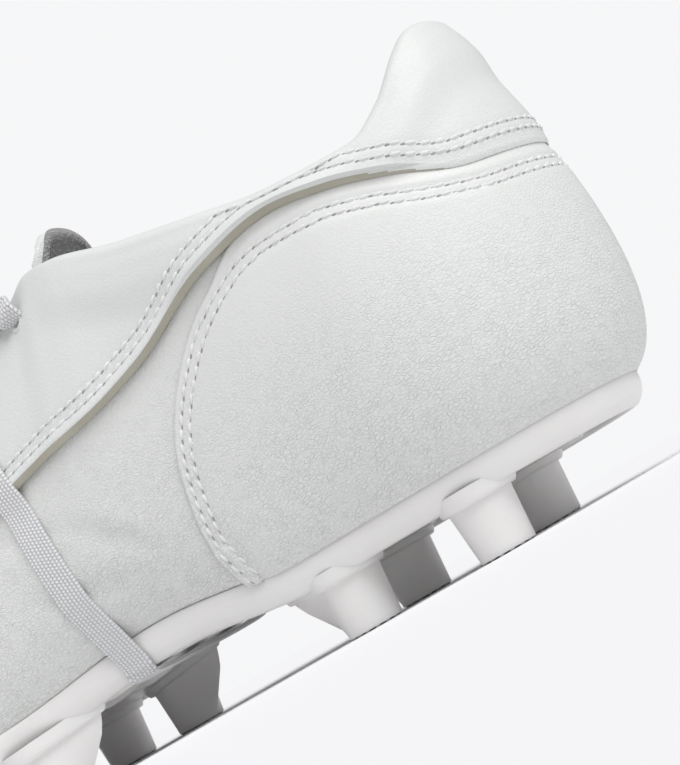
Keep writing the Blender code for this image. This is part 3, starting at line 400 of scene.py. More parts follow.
def downToEdge(place, table):
    # Distance down each rib to an edge drawn on the shoe's side
    place = np.atleast_1d(place)
    _, points, lengths = ribLine(place, 241)
    edgeX = [row[0] * shoe["length"] for row in table]
    edgeRise = [row[1] * shoe["ankleHeight"] for row in table]
    edge = soleTop(points[..., 0]) + smoothThrough(edgeX, edgeRise, points[..., 0])
    below = points[..., 2] < edge
    first = np.argmax(below, axis=1)
    rows = np.arange(len(place))
    above = points[rows, first - 1, 2] - edge[rows, first - 1]
    under = edge[rows, first] - points[rows, first, 2]
    share = above / np.maximum(above + under, 1e-6)
    return lengths[rows, first - 1] + (lengths[rows, first] - lengths[rows, first - 1]) * share


def pathDistance(x, y, path):
    # Distance to a path in a plane, how far along it, and which side (1 is left of the path)
    best = np.full(np.shape(x), 1e9)
    along = np.zeros(np.shape(x))
    side = np.ones(np.shape(x))
    length = 0.0
    for (startX, startY), (endX, endY) in zip(path[:-1], path[1:]):
        dx, dy = endX - startX, endY - startY
        size = math.hypot(dx, dy)
        share = np.clip(((x - startX) * dx + (y - startY) * dy) / size ** 2, 0, 1)
        away = np.hypot(x - startX - dx * share, y - startY - dy * share)
        nearer = away < best
        best = np.where(nearer, away, best)
        along = np.where(nearer, length + share * size, along)
        side = np.where(nearer, np.sign(dx * (y - startY) - dy * (x - startX)), side)
        length += size
    return best, along, side, length


# Meshes and materials

def gridFaces(rows, columns, closedColumns=False, start=0, flip=False):
    steps = np.arange(columns if closedColumns else columns - 1)
    row, column = np.meshgrid(np.arange(rows - 1), steps, indexing="ij")
    following = (column + 1) % columns
    faces = np.stack([row * columns + column, row * columns + following,
                      (row + 1) * columns + following, (row + 1) * columns + column], -1)
    faces = faces.reshape(-1, 4) + start
    return faces[:, ::-1] if flip else faces


def makePiece(name, points, faces, materials, replaces=(), faceMaterial=None, uv=None, sharp=None):
    points = np.asarray(points, float).reshape(-1, 3)
    placed = (points + [shiftX, shiftY, 0]) / 1000
    mesh = bpy.data.meshes.new(name)
    mesh.from_pydata(placed.tolist(), [], [[int(corner) for corner in face] for face in faces])
    for material in materials:
        mesh.materials.append(material)
    if faceMaterial is not None:
        mesh.polygons.foreach_set("material_index", np.asarray(faceMaterial, np.int32))
    if uv is not None:
        layer = mesh.uv_layers.new(name="weave")
        corners = np.empty(len(mesh.loops), np.int32)
        mesh.loops.foreach_get("vertex_index", corners)
        layer.data.foreach_set("uv", np.asarray(uv, np.float32).reshape(-1, 2)[corners].ravel())
    mesh.shade_smooth()
    if sharp:
        mesh.set_sharp_from_angle(angle=math.radians(sharp))
    mesh.update()
    obj = bpy.data.objects.new(name, mesh)
    bpy.context.scene.collection.objects.link(obj)
    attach(obj, "root")
    if replaces:
        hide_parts(*replaces)
    return obj


def surfaceTree(obj):
    # The piece's faces for draping, in the shoe's millimetres
    bpy.context.view_layer.update()
    mesh = obj.evaluated_get(bpy.context.evaluated_depsgraph_get()).to_mesh()
    points = np.empty(len(mesh.vertices) * 3)
    mesh.vertices.foreach_get("co", points)
    points = points.reshape(-1, 3) * 1000 - [shiftX, shiftY, 0]
    return BVHTree.FromPolygons(points.tolist(), [list(face.vertices) for face in mesh.polygons])


def addNode(tree, kind, inputs=None, **settings):
    made = tree.nodes.new(kind)
    for key, value in settings.items():
        setattr(made, key, value)
    for key, value in (inputs or {}).items():
        if isinstance(value, bpy.types.NodeSocket):
            tree.links.new(value, made.inputs[key])
        else:
            made.inputs[key].default_value = value
    return made


def maths(tree, operation, first, second=0.5, third=0.5):
    return addNode(tree, "ShaderNodeMath", {0: first, 1: second, 2: third}, operation=operation).outputs[0]


def times(tree, first, second):
    return maths(tree, "MULTIPLY", first, second)


def mapRange(tree, value, fromLow, fromHigh, toLow=0.0, toHigh=1.0, smooth=False):
    limits = {"Value": value, "From Min": fromLow, "From Max": fromHigh, "To Min": toLow, "To Max": toHigh}
    curve = "SMOOTHSTEP" if smooth else "LINEAR"
    return addNode(tree, "ShaderNodeMapRange", limits, interpolation_type=curve).outputs["Result"]


def mixColours(tree, share, first, second):
    colours = [value if isinstance(value, bpy.types.NodeSocket) else (*value, 1) for value in (first, second)]
    made = addNode(tree, "ShaderNodeMix", {0: share, 6: colours[0], 7: colours[1]}, data_type="RGBA")
    return made.outputs[2]


def noiseOf(tree, place, size, detail=2.0):
    made = addNode(tree, "ShaderNodeTexNoise", {"Vector": place, "Scale": size, "Detail": detail})
    return made.outputs["Fac"]


def cellEdges(tree, place, size):
    made = addNode(tree, "ShaderNodeTexVoronoi", {"Vector": place, "Scale": size}, feature="DISTANCE_TO_EDGE")
    return made.outputs["Distance"]


def startMaterial(name, colour, roughness, **values):
    material = bpy.data.materials.new(name)
    material.use_nodes = True
    material.diffuse_color = (*colour, 1)
    tree = material.node_tree
    shader = tree.nodes["Principled BSDF"]
    shader.inputs["Base Color"].default_value = (*colour, 1)
    shader.inputs["Roughness"].default_value = roughness
    for key, value in values.items():
        shader.inputs[key].default_value = value
    place = addNode(tree, "ShaderNodeTexCoord").outputs["Object"]
    return material, tree, shader, place


def scaled(tree, place, scale, wobble=0.0, wobbleSize=500.0):
    # Object coordinates, stretched, and pushed about a little
    if wobble:
        blur = addNode(tree, "ShaderNodeTexNoise", {"Vector": place, "Scale": wobbleSize, "Detail": 2.0})
        place = addNode(tree, "ShaderNodeVectorMath", {0: blur.outputs["Color"], 1: (wobble,) * 3, 2: place},
                        operation="MULTIPLY_ADD").outputs[0]
    return addNode(tree, "ShaderNodeMapping", {"Vector": place, "Scale": scale}).outputs["Vector"]


def bump(tree, shader, height, distance):
    made = addNode(tree, "ShaderNodeBump", {"Height": height, "Distance": distance, "Strength": 1.0})
    tree.links.new(made.outputs["Normal"], shader.inputs["Normal"])


leather = {
    "colour": (0.76, 0.77, 0.75),
    # colour and share of the painted shade in the grain's creases
    "creaseShadeColour": (0.64, 0.65, 0.63),
    "creaseShadeShare": 0.22,
    "grain": 1320.0,
    "grainStretch": (0.58, 0.58, 1.15),
    "fineRatio": 1.9,
    "fineStretch": (0.62, 0.62, 1.15),
    "grainDepth": 0.00013,
    "pores": 3800.0,
    "poreShare": 0.16,
    "lean": -0.15,
    "roughness": 0.46,
}


def leatherMaterial(name, colour, depth, lowFade=0.030, highFade=0.085, highShare=0.25):
    # Two sizes of grain with creases between, weaker from lowFade up to highFade over the floor; the creases
    # also darken the colour as painted shade
    material, tree, shader, place = startMaterial(name, colour, leather["roughness"])
    shader.inputs["Coat Weight"].default_value = 0.06
    shader.inputs["Coat Roughness"].default_value = 0.35
    leaned = addNode(tree, "ShaderNodeMapping", {"Vector": place, "Rotation": (0.0, leather["lean"], 0.0)})
    leaned = leaned.outputs["Vector"]
    large = cellEdges(tree, scaled(tree, leaned, leather["grainStretch"], 0.0008, 800.0), leather["grain"])
    small = cellEdges(tree, scaled(tree, leaned, leather["fineStretch"], 0.0005, 1500.0),
                      leather["grain"] * leather["fineRatio"])
    pebbles = mapRange(tree, large, 0.0, 0.17, 0.0, 1.0, True)
    fine = mapRange(tree, small, 0.0, 0.26, 0.28, 0.0, True)
    broken = mapRange(tree, noiseOf(tree, leaned, 340.0), 0.36, 0.58, 0.72, 1.0, True)
    creases = times(tree, maths(tree, "SUBTRACT", 1.0, pebbles), broken)
    patches = noiseOf(tree, scaled(tree, leaned, (0.6, 0.6, 1.0)), 60.0)
    rise = addNode(tree, "ShaderNodeSeparateXYZ", {"Vector": place}).outputs["Z"]
    strong = times(tree, mapRange(tree, rise, lowFade, highFade, 1.0, highShare, True),
                   mapRange(tree, patches, 0.35, 0.65, 0.88, 1.0))
    relief = times(tree, maths(tree, "ADD", creases, fine), times(tree, strong, -1.0))
    pores = noiseOf(tree, place, leather["pores"], 3.0)
    relief = maths(tree, "MULTIPLY_ADD", pores, leather["poreShare"], relief)
    # Painted shade: the colour darkens in the grain's creases, less so higher up the shoe
    shade = times(tree, creases, strong)
    shadedColour = mixColours(tree, times(tree, shade, leather["creaseShadeShare"]), colour, leather["creaseShadeColour"])
    tree.links.new(shadedColour, shader.inputs["Base Color"])
    uneven = mapRange(tree, patches, 0.3, 0.7, leather["roughness"] - 0.05, leather["roughness"] + 0.06)
    tree.links.new(maths(tree, "MULTIPLY_ADD", shade, 0.15, uneven), shader.inputs["Roughness"])
    bump(tree, shader, relief, depth)
    return material


def plainNoiseMaterial(name, colour, darker, roughness, size, depth, stretch=(1, 1, 1), **values):
    material, tree, shader, place = startMaterial(name, colour, roughness, **values)
    fine = noiseOf(tree, scaled(tree, place, stretch), size, 4.0)
    share = mapRange(tree, noiseOf(tree, place, size / 40), 0.3, 0.75)
    tree.links.new(mixColours(tree, share, colour, darker), shader.inputs["Base Color"])
    uneven = mapRange(tree, fine, 0.3, 0.7, roughness - 0.06, roughness + 0.08)
    tree.links.new(uneven, shader.inputs["Roughness"])
    bump(tree, shader, fine, depth)
    return material


def clothMaterial(name, colour, darker, threads, depth, roughness=0.9):
    # Knitted or woven cloth with threads crossing at the given count a metre
    material, tree, shader, place = startMaterial(name, colour, roughness)
    shader.inputs["Sheen Weight"].default_value = 0.25
    shader.inputs["Sheen Roughness"].default_value = 0.5
    cells = addNode(tree, "ShaderNodeTexVoronoi", {"Vector": scaled(tree, place, (1, 1, 1.3), 0.0004, 900.0),
                                                  "Scale": threads}, feature="F1")
    relief = mapRange(tree, cells.outputs["Distance"], 0.0, 0.7, 1.0, 0.0, True)
    relief = maths(tree, "MULTIPLY_ADD", noiseOf(tree, place, threads * 5), 0.3, relief)
    # Painted shade: the colour darkens between the threads, where the relief is low
    tree.links.new(mixColours(tree, relief, darker, colour), shader.inputs["Base Color"])
    bump(tree, shader, relief, depth)
    return material


def laceMaterial(name, colour, darker):
    # A flat plaited lace: UV u runs across the width, v along it in widths
    material, tree, shader, place = startMaterial(name, colour, 0.85)
    shader.inputs["Sheen Weight"].default_value = 0.35
    shader.inputs["Sheen Roughness"].default_value = 0.4
    uv = addNode(tree, "ShaderNodeUVMap", uv_map="weave").outputs["UV"]
    apart = addNode(tree, "ShaderNodeSeparateXYZ", {"Vector": uv})
    across = maths(tree, "MULTIPLY", apart.outputs["X"], 8.0)
    along = maths(tree, "MULTIPLY", apart.outputs["Y"], 8.5)
    odd = maths(tree, "MULTIPLY", maths(tree, "MODULO", maths(tree, "FLOOR", across), 2.0), 0.5)
    shifted = maths(tree, "ADD", along, odd)
    alongWave = maths(tree, "ABSOLUTE", maths(tree, "SINE", maths(tree, "MULTIPLY", shifted, math.pi)))
    acrossWave = maths(tree, "ABSOLUTE", maths(tree, "SINE", maths(tree, "MULTIPLY", across, math.pi)))
    knots = times(tree, maths(tree, "POWER", alongWave, 0.6), maths(tree, "POWER", acrossWave, 0.6))
    relief = maths(tree, "MULTIPLY_ADD", noiseOf(tree, place, 6000.0), 0.25, knots)
    # Painted shade: the colour darkens in the hollows between the knots
    shadedColour = mixColours(tree, mapRange(tree, knots, 0.1, 0.7), darker, colour)
    tree.links.new(shadedColour, shader.inputs["Base Color"])
    bump(tree, shader, relief, 0.00022)
    return material


def soleMaterial():
    material = plainNoiseMaterial("sole plastic", (0.86, 0.85, 0.835), (0.82, 0.805, 0.79), 0.36, 1500.0,
                                  0.00002)
    shader = material.node_tree.nodes["Principled BSDF"]
    shader.inputs["Subsurface Weight"].default_value = 0.12
    shader.inputs["Subsurface Radius"].default_value = (1.0, 0.8, 0.65)
    shader.inputs["Subsurface Scale"].default_value = 0.0025
    shader.inputs["Coat Weight"].default_value = 0.12
    shader.inputs["Coat Roughness"].default_value = 0.25
    return material


finish = {
    "upper": leatherMaterial("upper leather", leather["colour"], leather["grainDepth"]),
    "panel": leatherMaterial("heel panel leather", (0.76, 0.77, 0.75), 0.00012, 0.030, 0.082, 0.12),
    "band": leatherMaterial("collar band leather", (0.75, 0.765, 0.745), 0.00010, 0.040, 0.090, 0.25),
    "rawEdge": plainNoiseMaterial("raw cut edge", (0.50, 0.475, 0.40), (0.40, 0.375, 0.31), 0.9, 2500.0,
                                  0.00012, (1, 1, 3)),
    "lining": clothMaterial("grey lining", (0.40, 0.40, 0.39), (0.24, 0.24, 0.235), 900.0, 0.00018),
    "footbed": clothMaterial("footbed cloth", (0.55, 0.55, 0.54), (0.42, 0.42, 0.41), 1300.0, 0.00012),
    "tongue": leatherMaterial("tongue leather", (0.75, 0.765, 0.745), 0.00012, 0.060, 0.110, 0.6),
    "lace": laceMaterial("plaited lace", (0.80, 0.80, 0.81), (0.52, 0.52, 0.53)),
    "thread": plainNoiseMaterial("sewing thread", (0.84, 0.84, 0.84), (0.72, 0.72, 0.73), 0.6, 5000.0,
                                 0.00006),
    "sole": soleMaterial(),
    # the nubs on the stud tips are coloured darker than the tip around them
    "nub": plainNoiseMaterial("darker stud nubs", (0.56, 0.54, 0.515), (0.48, 0.46, 0.44), 0.6, 2200.0, 0.00005),
    # painted shade, used for the needle holes and the eyelet holes
    "hole": plainNoiseMaterial("hole shade", (0.36, 0.36, 0.35), (0.28, 0.28, 0.27), 0.9, 900.0, 0.00002),
    "rivet": plainNoiseMaterial("rivet metal", (0.30, 0.26, 0.22), (0.20, 0.17, 0.14), 0.38, 2600.0, 0.00004,
                                Metallic=0.85),
}
print("materials ready")

# Upper: one shell over the last, with soft creases given in a table

upper = {
    "collarRibs": 165,
    "vampRibs": 80,
    "toeRibs": 26,
    "rows": 66,
    # start x, height over the sole, end x, height, depth, width
    "innerCreases": [
        (108, 12, 132, 30, 0.55, 5.0), (118, 8, 150, 20, 0.45, 4.5), (126, 26, 152, 38, 0.40, 4.5),
        (166, 6, 176, 34, 0.55, 5.0), (178, 5, 190, 36, 0.65, 5.5), (190, 6, 200, 34, 0.45, 5.0)],
    "outerCreases": [
        (100, 14, 128, 28, 0.45, 5.0), (162, 5, 172, 32, 0.50, 5.0), (174, 5, 186, 36, 0.60, 5.5),
        (188, 6, 197, 32, 0.45, 5.0)],
}
throatPlace = findPlace(1, throatEnd * shoe["length"])[0]


def creaseDepth(points, side):
    # Troughs with a soft ridge on either side, drawn on the shoe's side
    drop = np.zeros(points.shape[:-1])
    rise = points[..., 2] - soleTop(points[..., 0])
    for fromX, fromUp, toX, toUp, depth, width in upper["innerCreases" if side > 0 else "outerCreases"]:
        away, along, _, length = pathDistance(points[..., 0], rise, [(fromX, fromUp), (toX, toUp)])
        ends = ramp(along, 0, length * 0.45) * ramp(length - along, 0, length * 0.45)
        trough = np.exp(-(away / (width * 0.42)) ** 2) - 0.45 * np.exp(-((away - width) / (width * 0.6)) ** 2)
        drop += depth * ends * trough
    return drop


def makeUpper():
    count = upper["collarRibs"]
    inner = np.linspace(0, throatPlace, count + 1)
    vampTops = np.linspace(throatEnd * shoe["length"], toeCap * shoe["length"], upper["vampRibs"] + 1)[1:]
    inner = np.concatenate([inner, findPlace(1, vampTops)])
    outer = findPlace(-1, lastValue("top", inner))
    outer[0] = lastPeriod
    fan = np.linspace(0, 1, upper["toeRibs"] + 1)[1:]
    inner = np.concatenate([inner, inner[-1] + (toePlace - inner[-1]) * fan])
    outer = np.concatenate([outer, outer[-1] + (toePlace - outer[-1]) * fan])
    shares = np.linspace(0, 1, upper["rows"] + 1)
    sheets = []
    for side, places in ((1, inner), (-1, outer)):
        points, normals = upperFace(places[:, None], shares[None, :])
        sheets.append(points - normals * creaseDepth(points, side)[..., None])
    sheets[1][0], sheets[1][-1] = sheets[0][0], sheets[0][-1]
    sheets[1][count:, -1] = sheets[0][count:, -1]
    size = len(inner) * len(shares)
    faces = np.vstack([gridFaces(len(inner), len(shares)),
                       gridFaces(len(inner), len(shares), start=size, flip=True)])
    obj = makePiece("upperShell", np.vstack([sheet.reshape(-1, 3) for sheet in sheets]), faces,
                    [finish["upper"], finish["lining"]], ("upper",))
    work = bmesh.new()
    work.from_mesh(obj.data)
    bmesh.ops.remove_doubles(work, verts=work.verts, dist=0.00001)
    bmesh.ops.dissolve_degenerate(work, edges=work.edges, dist=0.000001)
    work.to_mesh(obj.data)
    work.free()
    tree = surfaceTree(obj)
    wall = obj.modifiers.new("wall", "SOLIDIFY")
    wall.thickness = shoe["wall"] / 1000
    wall.offset = -1
    wall.material_offset = 1
    wall.material_offset_rim = 0
    return tree


upperTree = makeUpper()
print("upper made")


# Heel panel: drawn as a sheet round the heel (distance round from the back, height), then draped

heelPanel = {
    "thickness": 1.25,
    "centreX": 42.0,
    "quarterRound": 58.0,
    "seam": [(0, 65.5), (14.6, 66), (22.7, 66.8), (33.2, 70), (46.3, 75), (59, 78.2), (69, 79.3), (77, 79),
             (84, 76.8), (93, 72), (100, 66), (106, 59), (110.5, 51), (113, 42), (114.6, 32), (113.6, 24),
             (113, 17)],
    "firstRow": 0.2,
    "margin": 1.9,
    "tuck": 3.2,
    "rowGap": 2.1,
    "tabTop": 31.0,
    "tabWidth": 4.6,
}


def drapeRound(around, height, side):
    # Where a level ray from the heel's middle line leaves the upper
    turn = np.clip(around, 0, heelPanel["quarterRound"]) / heelPanel["quarterRound"] * math.pi / 2
    x = heelPanel["centreX"] + max(0.0, around - heelPanel["quarterRound"])
    hit, normal, _, _ = upperTree.ray_cast(Vector((x, 0, height)),
                                           Vector((-math.cos(turn), side * math.sin(turn), 0)))
    if hit is None:
        return None, None
    outward = Vector((-math.cos(turn), side * math.sin(turn), 0))
    return np.array(hit), np.array(normal if normal.dot(outward) > 0 else -normal)


def offsetPath(path, distance):
    # Path moved to its left in the plane
    lean = unit(np.gradient(path, axis=0))
    return path + np.stack([-lean[:, 1], lean[:, 0]], -1) * distance


def makeHeelPanel():
    seam = smoothPath(heelPanel["seam"], 1.0)
    margin = heelPanel["margin"] + heelPanel["tuck"] * ramp(seam[:, 0], 88, 74)
    border = offsetPath(seam, margin[:, None])
    border = border[border[:, 1] > 17.5]
    columns = 190
    rows = 56
    lengths = lengthsAlong(border)
    share = np.linspace(0, 1, columns)
    tops = np.stack([np.interp(share * lengths[-1], lengths, border[:, axis]) for axis in (0, 1)], -1)
    bottomAround = share * border[-1, 0]
    bottomX = heelPanel["centreX"] + bottomAround - heelPanel["quarterRound"]
    bottoms = np.stack([bottomAround, soleTop(np.maximum(bottomX, 12)) + 0.35], -1)
    steps = 1 - (1 - np.linspace(0, 1, rows)) ** 1.6
    cells = bottoms[:, None, :] + (tops - bottoms)[:, None, :] * steps[None, :, None]
    rowPaths = [offsetPath(seam, -heelPanel["firstRow"] - row * heelPanel["rowGap"]) for row in (0, 1)]
    edge, _, _, _ = pathDistance(cells[..., 0], cells[..., 1], [tuple(point) for point in border[::3]] +
                                 [tuple(border[-1])])
    press = np.zeros(edge.shape)
    for rowPath in rowPaths:
        away, _, _, _ = pathDistance(cells[..., 0], cells[..., 1], [tuple(point) for point in rowPath[::3]])
        press += 0.30 * np.exp(-(away / 0.8) ** 2)
    puff = 0.25 * ramp(edge, 4.5, 8.0)
    under = ramp(cells[..., 0], 92, 76) * ramp(edge, 4.2, 1.5)
    full = heelPanel["thickness"] - 0.5 * under
    tab = 0.75 * ramp(heelPanel["tabTop"] - cells[..., 1], 0, 1.2)
    tab = tab * ramp(heelPanel["tabWidth"] - edge, 0, 0.5)
    tab = tab * ramp(cells[..., 0], 98, 104)
    lift = -0.25 + (full + tab + 0.25) * np.sqrt(ramp(edge, -0.35, 0.95)) - press + puff
    points = []
    for side in (1, -1):
        sheet = np.zeros((columns, rows, 3))
        for column in range(columns):
            for row in range(rows):
                hit, normal = drapeRound(cells[column, row, 0], cells[column, row, 1], side)
                if hit is None:
                    hit, normal = sheet[column, row - 1] if row else sheet[column - 1, row], np.zeros(3)
                sheet[column, row] = hit + normal * lift[column, row]
        points.append(sheet)
    points[1][0] = points[0][0]
    both = np.vstack([points[1][:0:-1], points[0]])
    faces = gridFaces(len(both), rows)
    obj = makePiece("heelPanel", both, faces, [finish["panel"]], ("heel_counter",))
    return obj, rowPaths


heelPiece, panelRows = makeHeelPanel()
panelTree = surfaceTree(heelPiece)
print("heel panel made")


# Collar band: raw cut edge, outer face, padded roll over the top and the lining down inside

collarBand = {
    "lift": 2.1,
    # distance above the cut edge and height over the leather, from under the band round its edge
    "edge": [(3.0, 0.1), (0.35, 0.75), (0.0, 0.95), (0.2, 1.4), (0.5, 1.9), (0.8, 2.3), (1.1, 2.6),
             (1.35, 2.72)],
    "outerRows": 34,
    "rollRows": 9,
    "liningDepth": 26.0,
    "liningRows": 12,
    "padding": 1.5,
    "innerPadding": 3.0,
    "stitchRows": (3.7, 6.1),
    "topRow": 3.2,
}


def bandPlaces(spacing=1.1):
    last = throatPlace * 22.4 / 23
    outerLast = findPlace(-1, lastValue("top", last))[0] - lastPeriod
    outer = np.linspace(outerLast, 0, int(-outerLast / spacing))
    return np.concatenate([outer, np.linspace(0, last, int(last / spacing))[1:]])


def makeCollarBand():
    places = bandPlaces()
    depth = downToEdge(places, bandEdge)
    topX = lastValue("top", places)
    collarShare = 1 - ramp(topX, 0.34 * shoe["length"], 0.42 * shoe["length"])
    tabShare = 1 - ramp(topX, 12, 34)
    outerSteps = 1 - np.linspace(0, 1, collarBand["outerRows"]) ** 1.5
    rows = []
    cutWidth = collarBand["edge"][-1][0]
    proud = 0.35 + 0.65 * ramp(topX, 18, 58)
    for down, lift in collarBand["edge"]:
        rows.append((depth - down, np.full(len(places), min(lift, 0.95)) + max(0, lift - 0.95) * proud))
    edgeRows = len(rows)
    edgeExtra = rows[-1][1] - collarBand["lift"]
    for step in outerSteps[1:]:
        distance = (depth - cutWidth) * step
        swell = collarBand["padding"] * collarShare * ramp(distance, 17, 7)
        swell = swell * (0.75 + 0.25 * ramp(distance, 0, 4))
        press = 0.16 * sum(np.exp(-((depth - distance - row) / 0.8) ** 2) for row in collarBand["stitchRows"])
        lift = collarBand["lift"] + edgeExtra * ramp(depth - distance, 4.2, cutWidth) + swell - press
        rows.append((distance, lift))
    outerLift = rows[-1][1]
    padInside = collarBand["innerPadding"] * collarShare * ramp(np.abs(places), 6, 30)
    innerLift = -(shoe["wall"] + 0.35) - 0.35 * padInside
    rollRise = 1.0 + 1.6 * collarShare + 0.6 * tabShare
    for step in range(1, collarBand["rollRows"] + 1):
        angle = math.pi * step / (collarBand["rollRows"] + 1)
        middle, half = (outerLift + innerLift) / 2, (outerLift - innerLift) / 2
        rows.append((-rollRise * math.sin(angle), middle + half * math.cos(angle)))
    depthInside = 5 + (collarBand["liningDepth"] - 5) * collarShare
    for step in range(collarBand["liningRows"] + 1):
        share = step / collarBand["liningRows"]
        puff = padInside * (math.sin(math.pi * min(1, share * 1.15)) ** 2) * 0.8
        tuck = 0.6 * ramp(share, 0.85, 1)
        rows.append((depthInside * share, innerLift - puff + tuck))
    distances = np.stack([row[0] for row in rows], 1)
    lifts = np.stack([row[1] for row in rows], 1)
    shares = shareDown(places, np.maximum(distances, 0))
    fromEnd = np.minimum(places - places[0], places[-1] - places)
    ends = np.sqrt(ramp(fromEnd, -0.3, 1.6))[:, None]
    lifts = np.where(lifts > 0, lifts * ends - 0.2 * (1 - ends), lifts)
    points, normals = upperFace(places[:, None], shares)
    edgeUp = unit(onRib(ribFrame(places), np.full(len(places), 1.0)) - onRib(ribFrame(places),
                                                                         np.full(len(places), 0.97)))
    points = points + normals * lifts[..., None]
    points += edgeUp[:, None, :] * np.maximum(-distances, 0)[..., None]
    faces = gridFaces(len(places), len(rows))
    rowOf = np.tile(np.arange(len(rows) - 1), len(places) - 1)
    inside = edgeRows + collarBand["outerRows"] - 1 + collarBand["rollRows"]
    rawRows = np.repeat((1 + (edgeRows - 3) * ramp(topX, 12, 38))[:-1], len(rows) - 1)
    faceMaterial = np.where(rowOf < rawRows, 1, np.where(rowOf >= inside, 2, 0))
    obj = makePiece("collarBand", points, faces, [finish["band"], finish["rawEdge"], finish["lining"]],
                    ("collar_band",), faceMaterial)
    return obj, places, depth


bandPiece, bandRibs, bandDepth = makeCollarBand()
bandTree = surfaceTree(bandPiece)
print("collar band made")


# Sewing: small slanted capsules of thread along each row, with dark discs of painted shade at the needle
# holes

stitch = {
    "pitch": 3.0,
    "length": 2.35,
    "radius": 0.42,
    "slant": 0.20,
    "sink": 0.10,
    "hole": 0.26,
}


def stitchRow(path, tree):
    # Even places along a path laid on a surface
    path = np.asarray(path)
    lengths = lengthsAlong(path)
    count = max(1, int(lengths[-1] / stitch["pitch"]))
    made = []
    for index in range(count):
        at = (index + 0.5) * lengths[-1] / count
        middle = np.array([np.interp(at, lengths, path[:, axis]) for axis in range(3)])
        ahead = np.array([np.interp(at + 0.8, lengths, path[:, axis]) for axis in range(3)])
        back = np.array([np.interp(at - 0.8, lengths, path[:, axis]) for axis in range(3)])
        hit, normal, _, _ = tree.find_nearest(Vector(middle))
        if hit is None:
            continue
        made.append((np.array(hit), np.array(normal), ahead - back))
    return made


def makeStitches(name, rows, outwardFrom):
    sides, rings = 6, 6
    points, faces, faceMaterial = [], [], []
    for row in rows:
        for centre, normal, along in row:
            if np.dot(normal, centre - outwardFrom(centre)) < 0:
                normal = -normal
            along = unit(along - normal * np.dot(along, normal))
            across = np.cross(normal, along)
            along = unit(along + across * stitch["slant"])
            across = np.cross(normal, along)
            start = len(points)
            for ring in range(rings + 1):
                angle = math.pi * ring / rings
                reach = -math.cos(angle) * stitch["length"] / 2
                radius = stitch["radius"] * max(0.02, math.sin(angle)) ** 0.55
                dip = stitch["sink"] - 0.30 * (abs(math.cos(angle)) ** 3)
                for side in range(sides):
                    turn = 2 * math.pi * side / sides
                    points.append(centre + along * reach + across * radius * math.cos(turn)
                                  + normal * (radius * 0.85 * math.sin(turn) + dip))
            for ring in range(rings):
                for side in range(sides):
                    following = (side + 1) % sides
                    faces.append((start + ring * sides + side, start + ring * sides + following,
                                  start + (ring + 1) * sides + following, start + (ring + 1) * sides + side))
                    faceMaterial.append(0)
            start = len(points)
            # Painted shade: a flat dark disc at each needle hole between the stitches
            holeAt = centre + along * stitch["pitch"] * 0.5
            for size, level in ((1.0, -0.1), (0.95, 0.05), (0.5, 0.075), (0.02, 0.08)):
                for side in range(8):
                    turn = math.pi * side / 4
                    points.append(holeAt + along * size * stitch["hole"] * 2.3 * math.cos(turn)
                                  + across * size * stitch["hole"] * math.sin(turn) + normal * level)
            faces += gridFaces(4, 8, True, start).tolist()
            faceMaterial += [1] * 24
    return makePiece(name, points, faces, [finish["thread"], finish["hole"]], (), faceMaterial)


def middleOfShoe(point):
    return np.array([point[0] if point[0] > 42 else 42, 0, min(point[2], 60)])


def panelRowPath(row, side):
    path = []
    for around, height in row:
        if around < 0.5 or height < 20.6:
            continue
        hit, _ = drapeRound(around, height, side)
        if hit is not None:
            path.append(hit)
    return path


def bandRowPath(distanceAboveEdge=None, distanceDown=None):
    down = bandDepth - distanceAboveEdge if distanceDown is None else np.full(len(bandRibs), distanceDown)
    points, normals = upperFace(bandRibs, shareDown(bandRibs, down[:, None])[:, 0])
    return points + normals * 2.2


panelStitches = [stitchRow(panelRowPath(row, side), panelTree) for row in panelRows for side in (1, -1)]
makeStitches("panelStitches", panelStitches, middleOfShoe)
bandStitches = [stitchRow(bandRowPath(distanceAboveEdge=row), bandTree) for row in collarBand["stitchRows"]]
throatStart = 0.42 * shoe["length"]
throatRow = bandRowPath(distanceDown=collarBand["topRow"])
onThroat = lastValue("top", bandRibs) > throatStart
for keep in (onThroat & (bandRibs < 0), onThroat & (bandRibs > 0)):
    bandStitches.append(stitchRow(throatRow[keep], bandTree))
makeStitches("bandStitches", bandStitches, middleOfShoe)
print("stitches made")


# Sole plate: rim round the outline, and the floor as lines across with its ledges and ribs

solePlate = {
    "outlineSteps": 900,
    "crossSteps": 100,
    # inset in the rim's width, level in the rim's height
    "rim": [(0.62, 1.02), (0.16, 1.03), (0.07, 1.05), (0.02, 1.03), (0.0, 0.96), (0.0, 0.78), (0.015, 0.6),
            (0.06, 0.44), (0.12, 0.28), (0.22, 0.14), (0.32, 0.04), (0.43, 0.0), (0.53, 0.015),
            (0.63, 0.075), (0.73, 0.165), (0.82, 0.22), (0.91, 0.205), (1.0, 0.16)],
    "rimStep": 0.55,
    "valleyStart": 0.55,
    "lidSteps": 9,
    "ledge": [(0.0, 44.3), (13.2, 34.8), (20.3, 32.3), (27.2, 31.6), (40.0, 31.0)],
    "softLedge": [(0.0, 37.0), (15.5, 28.6), (30.0, 24.0)],
    "pocketDepth": 1.2,
    "padStep": 0.9,
}

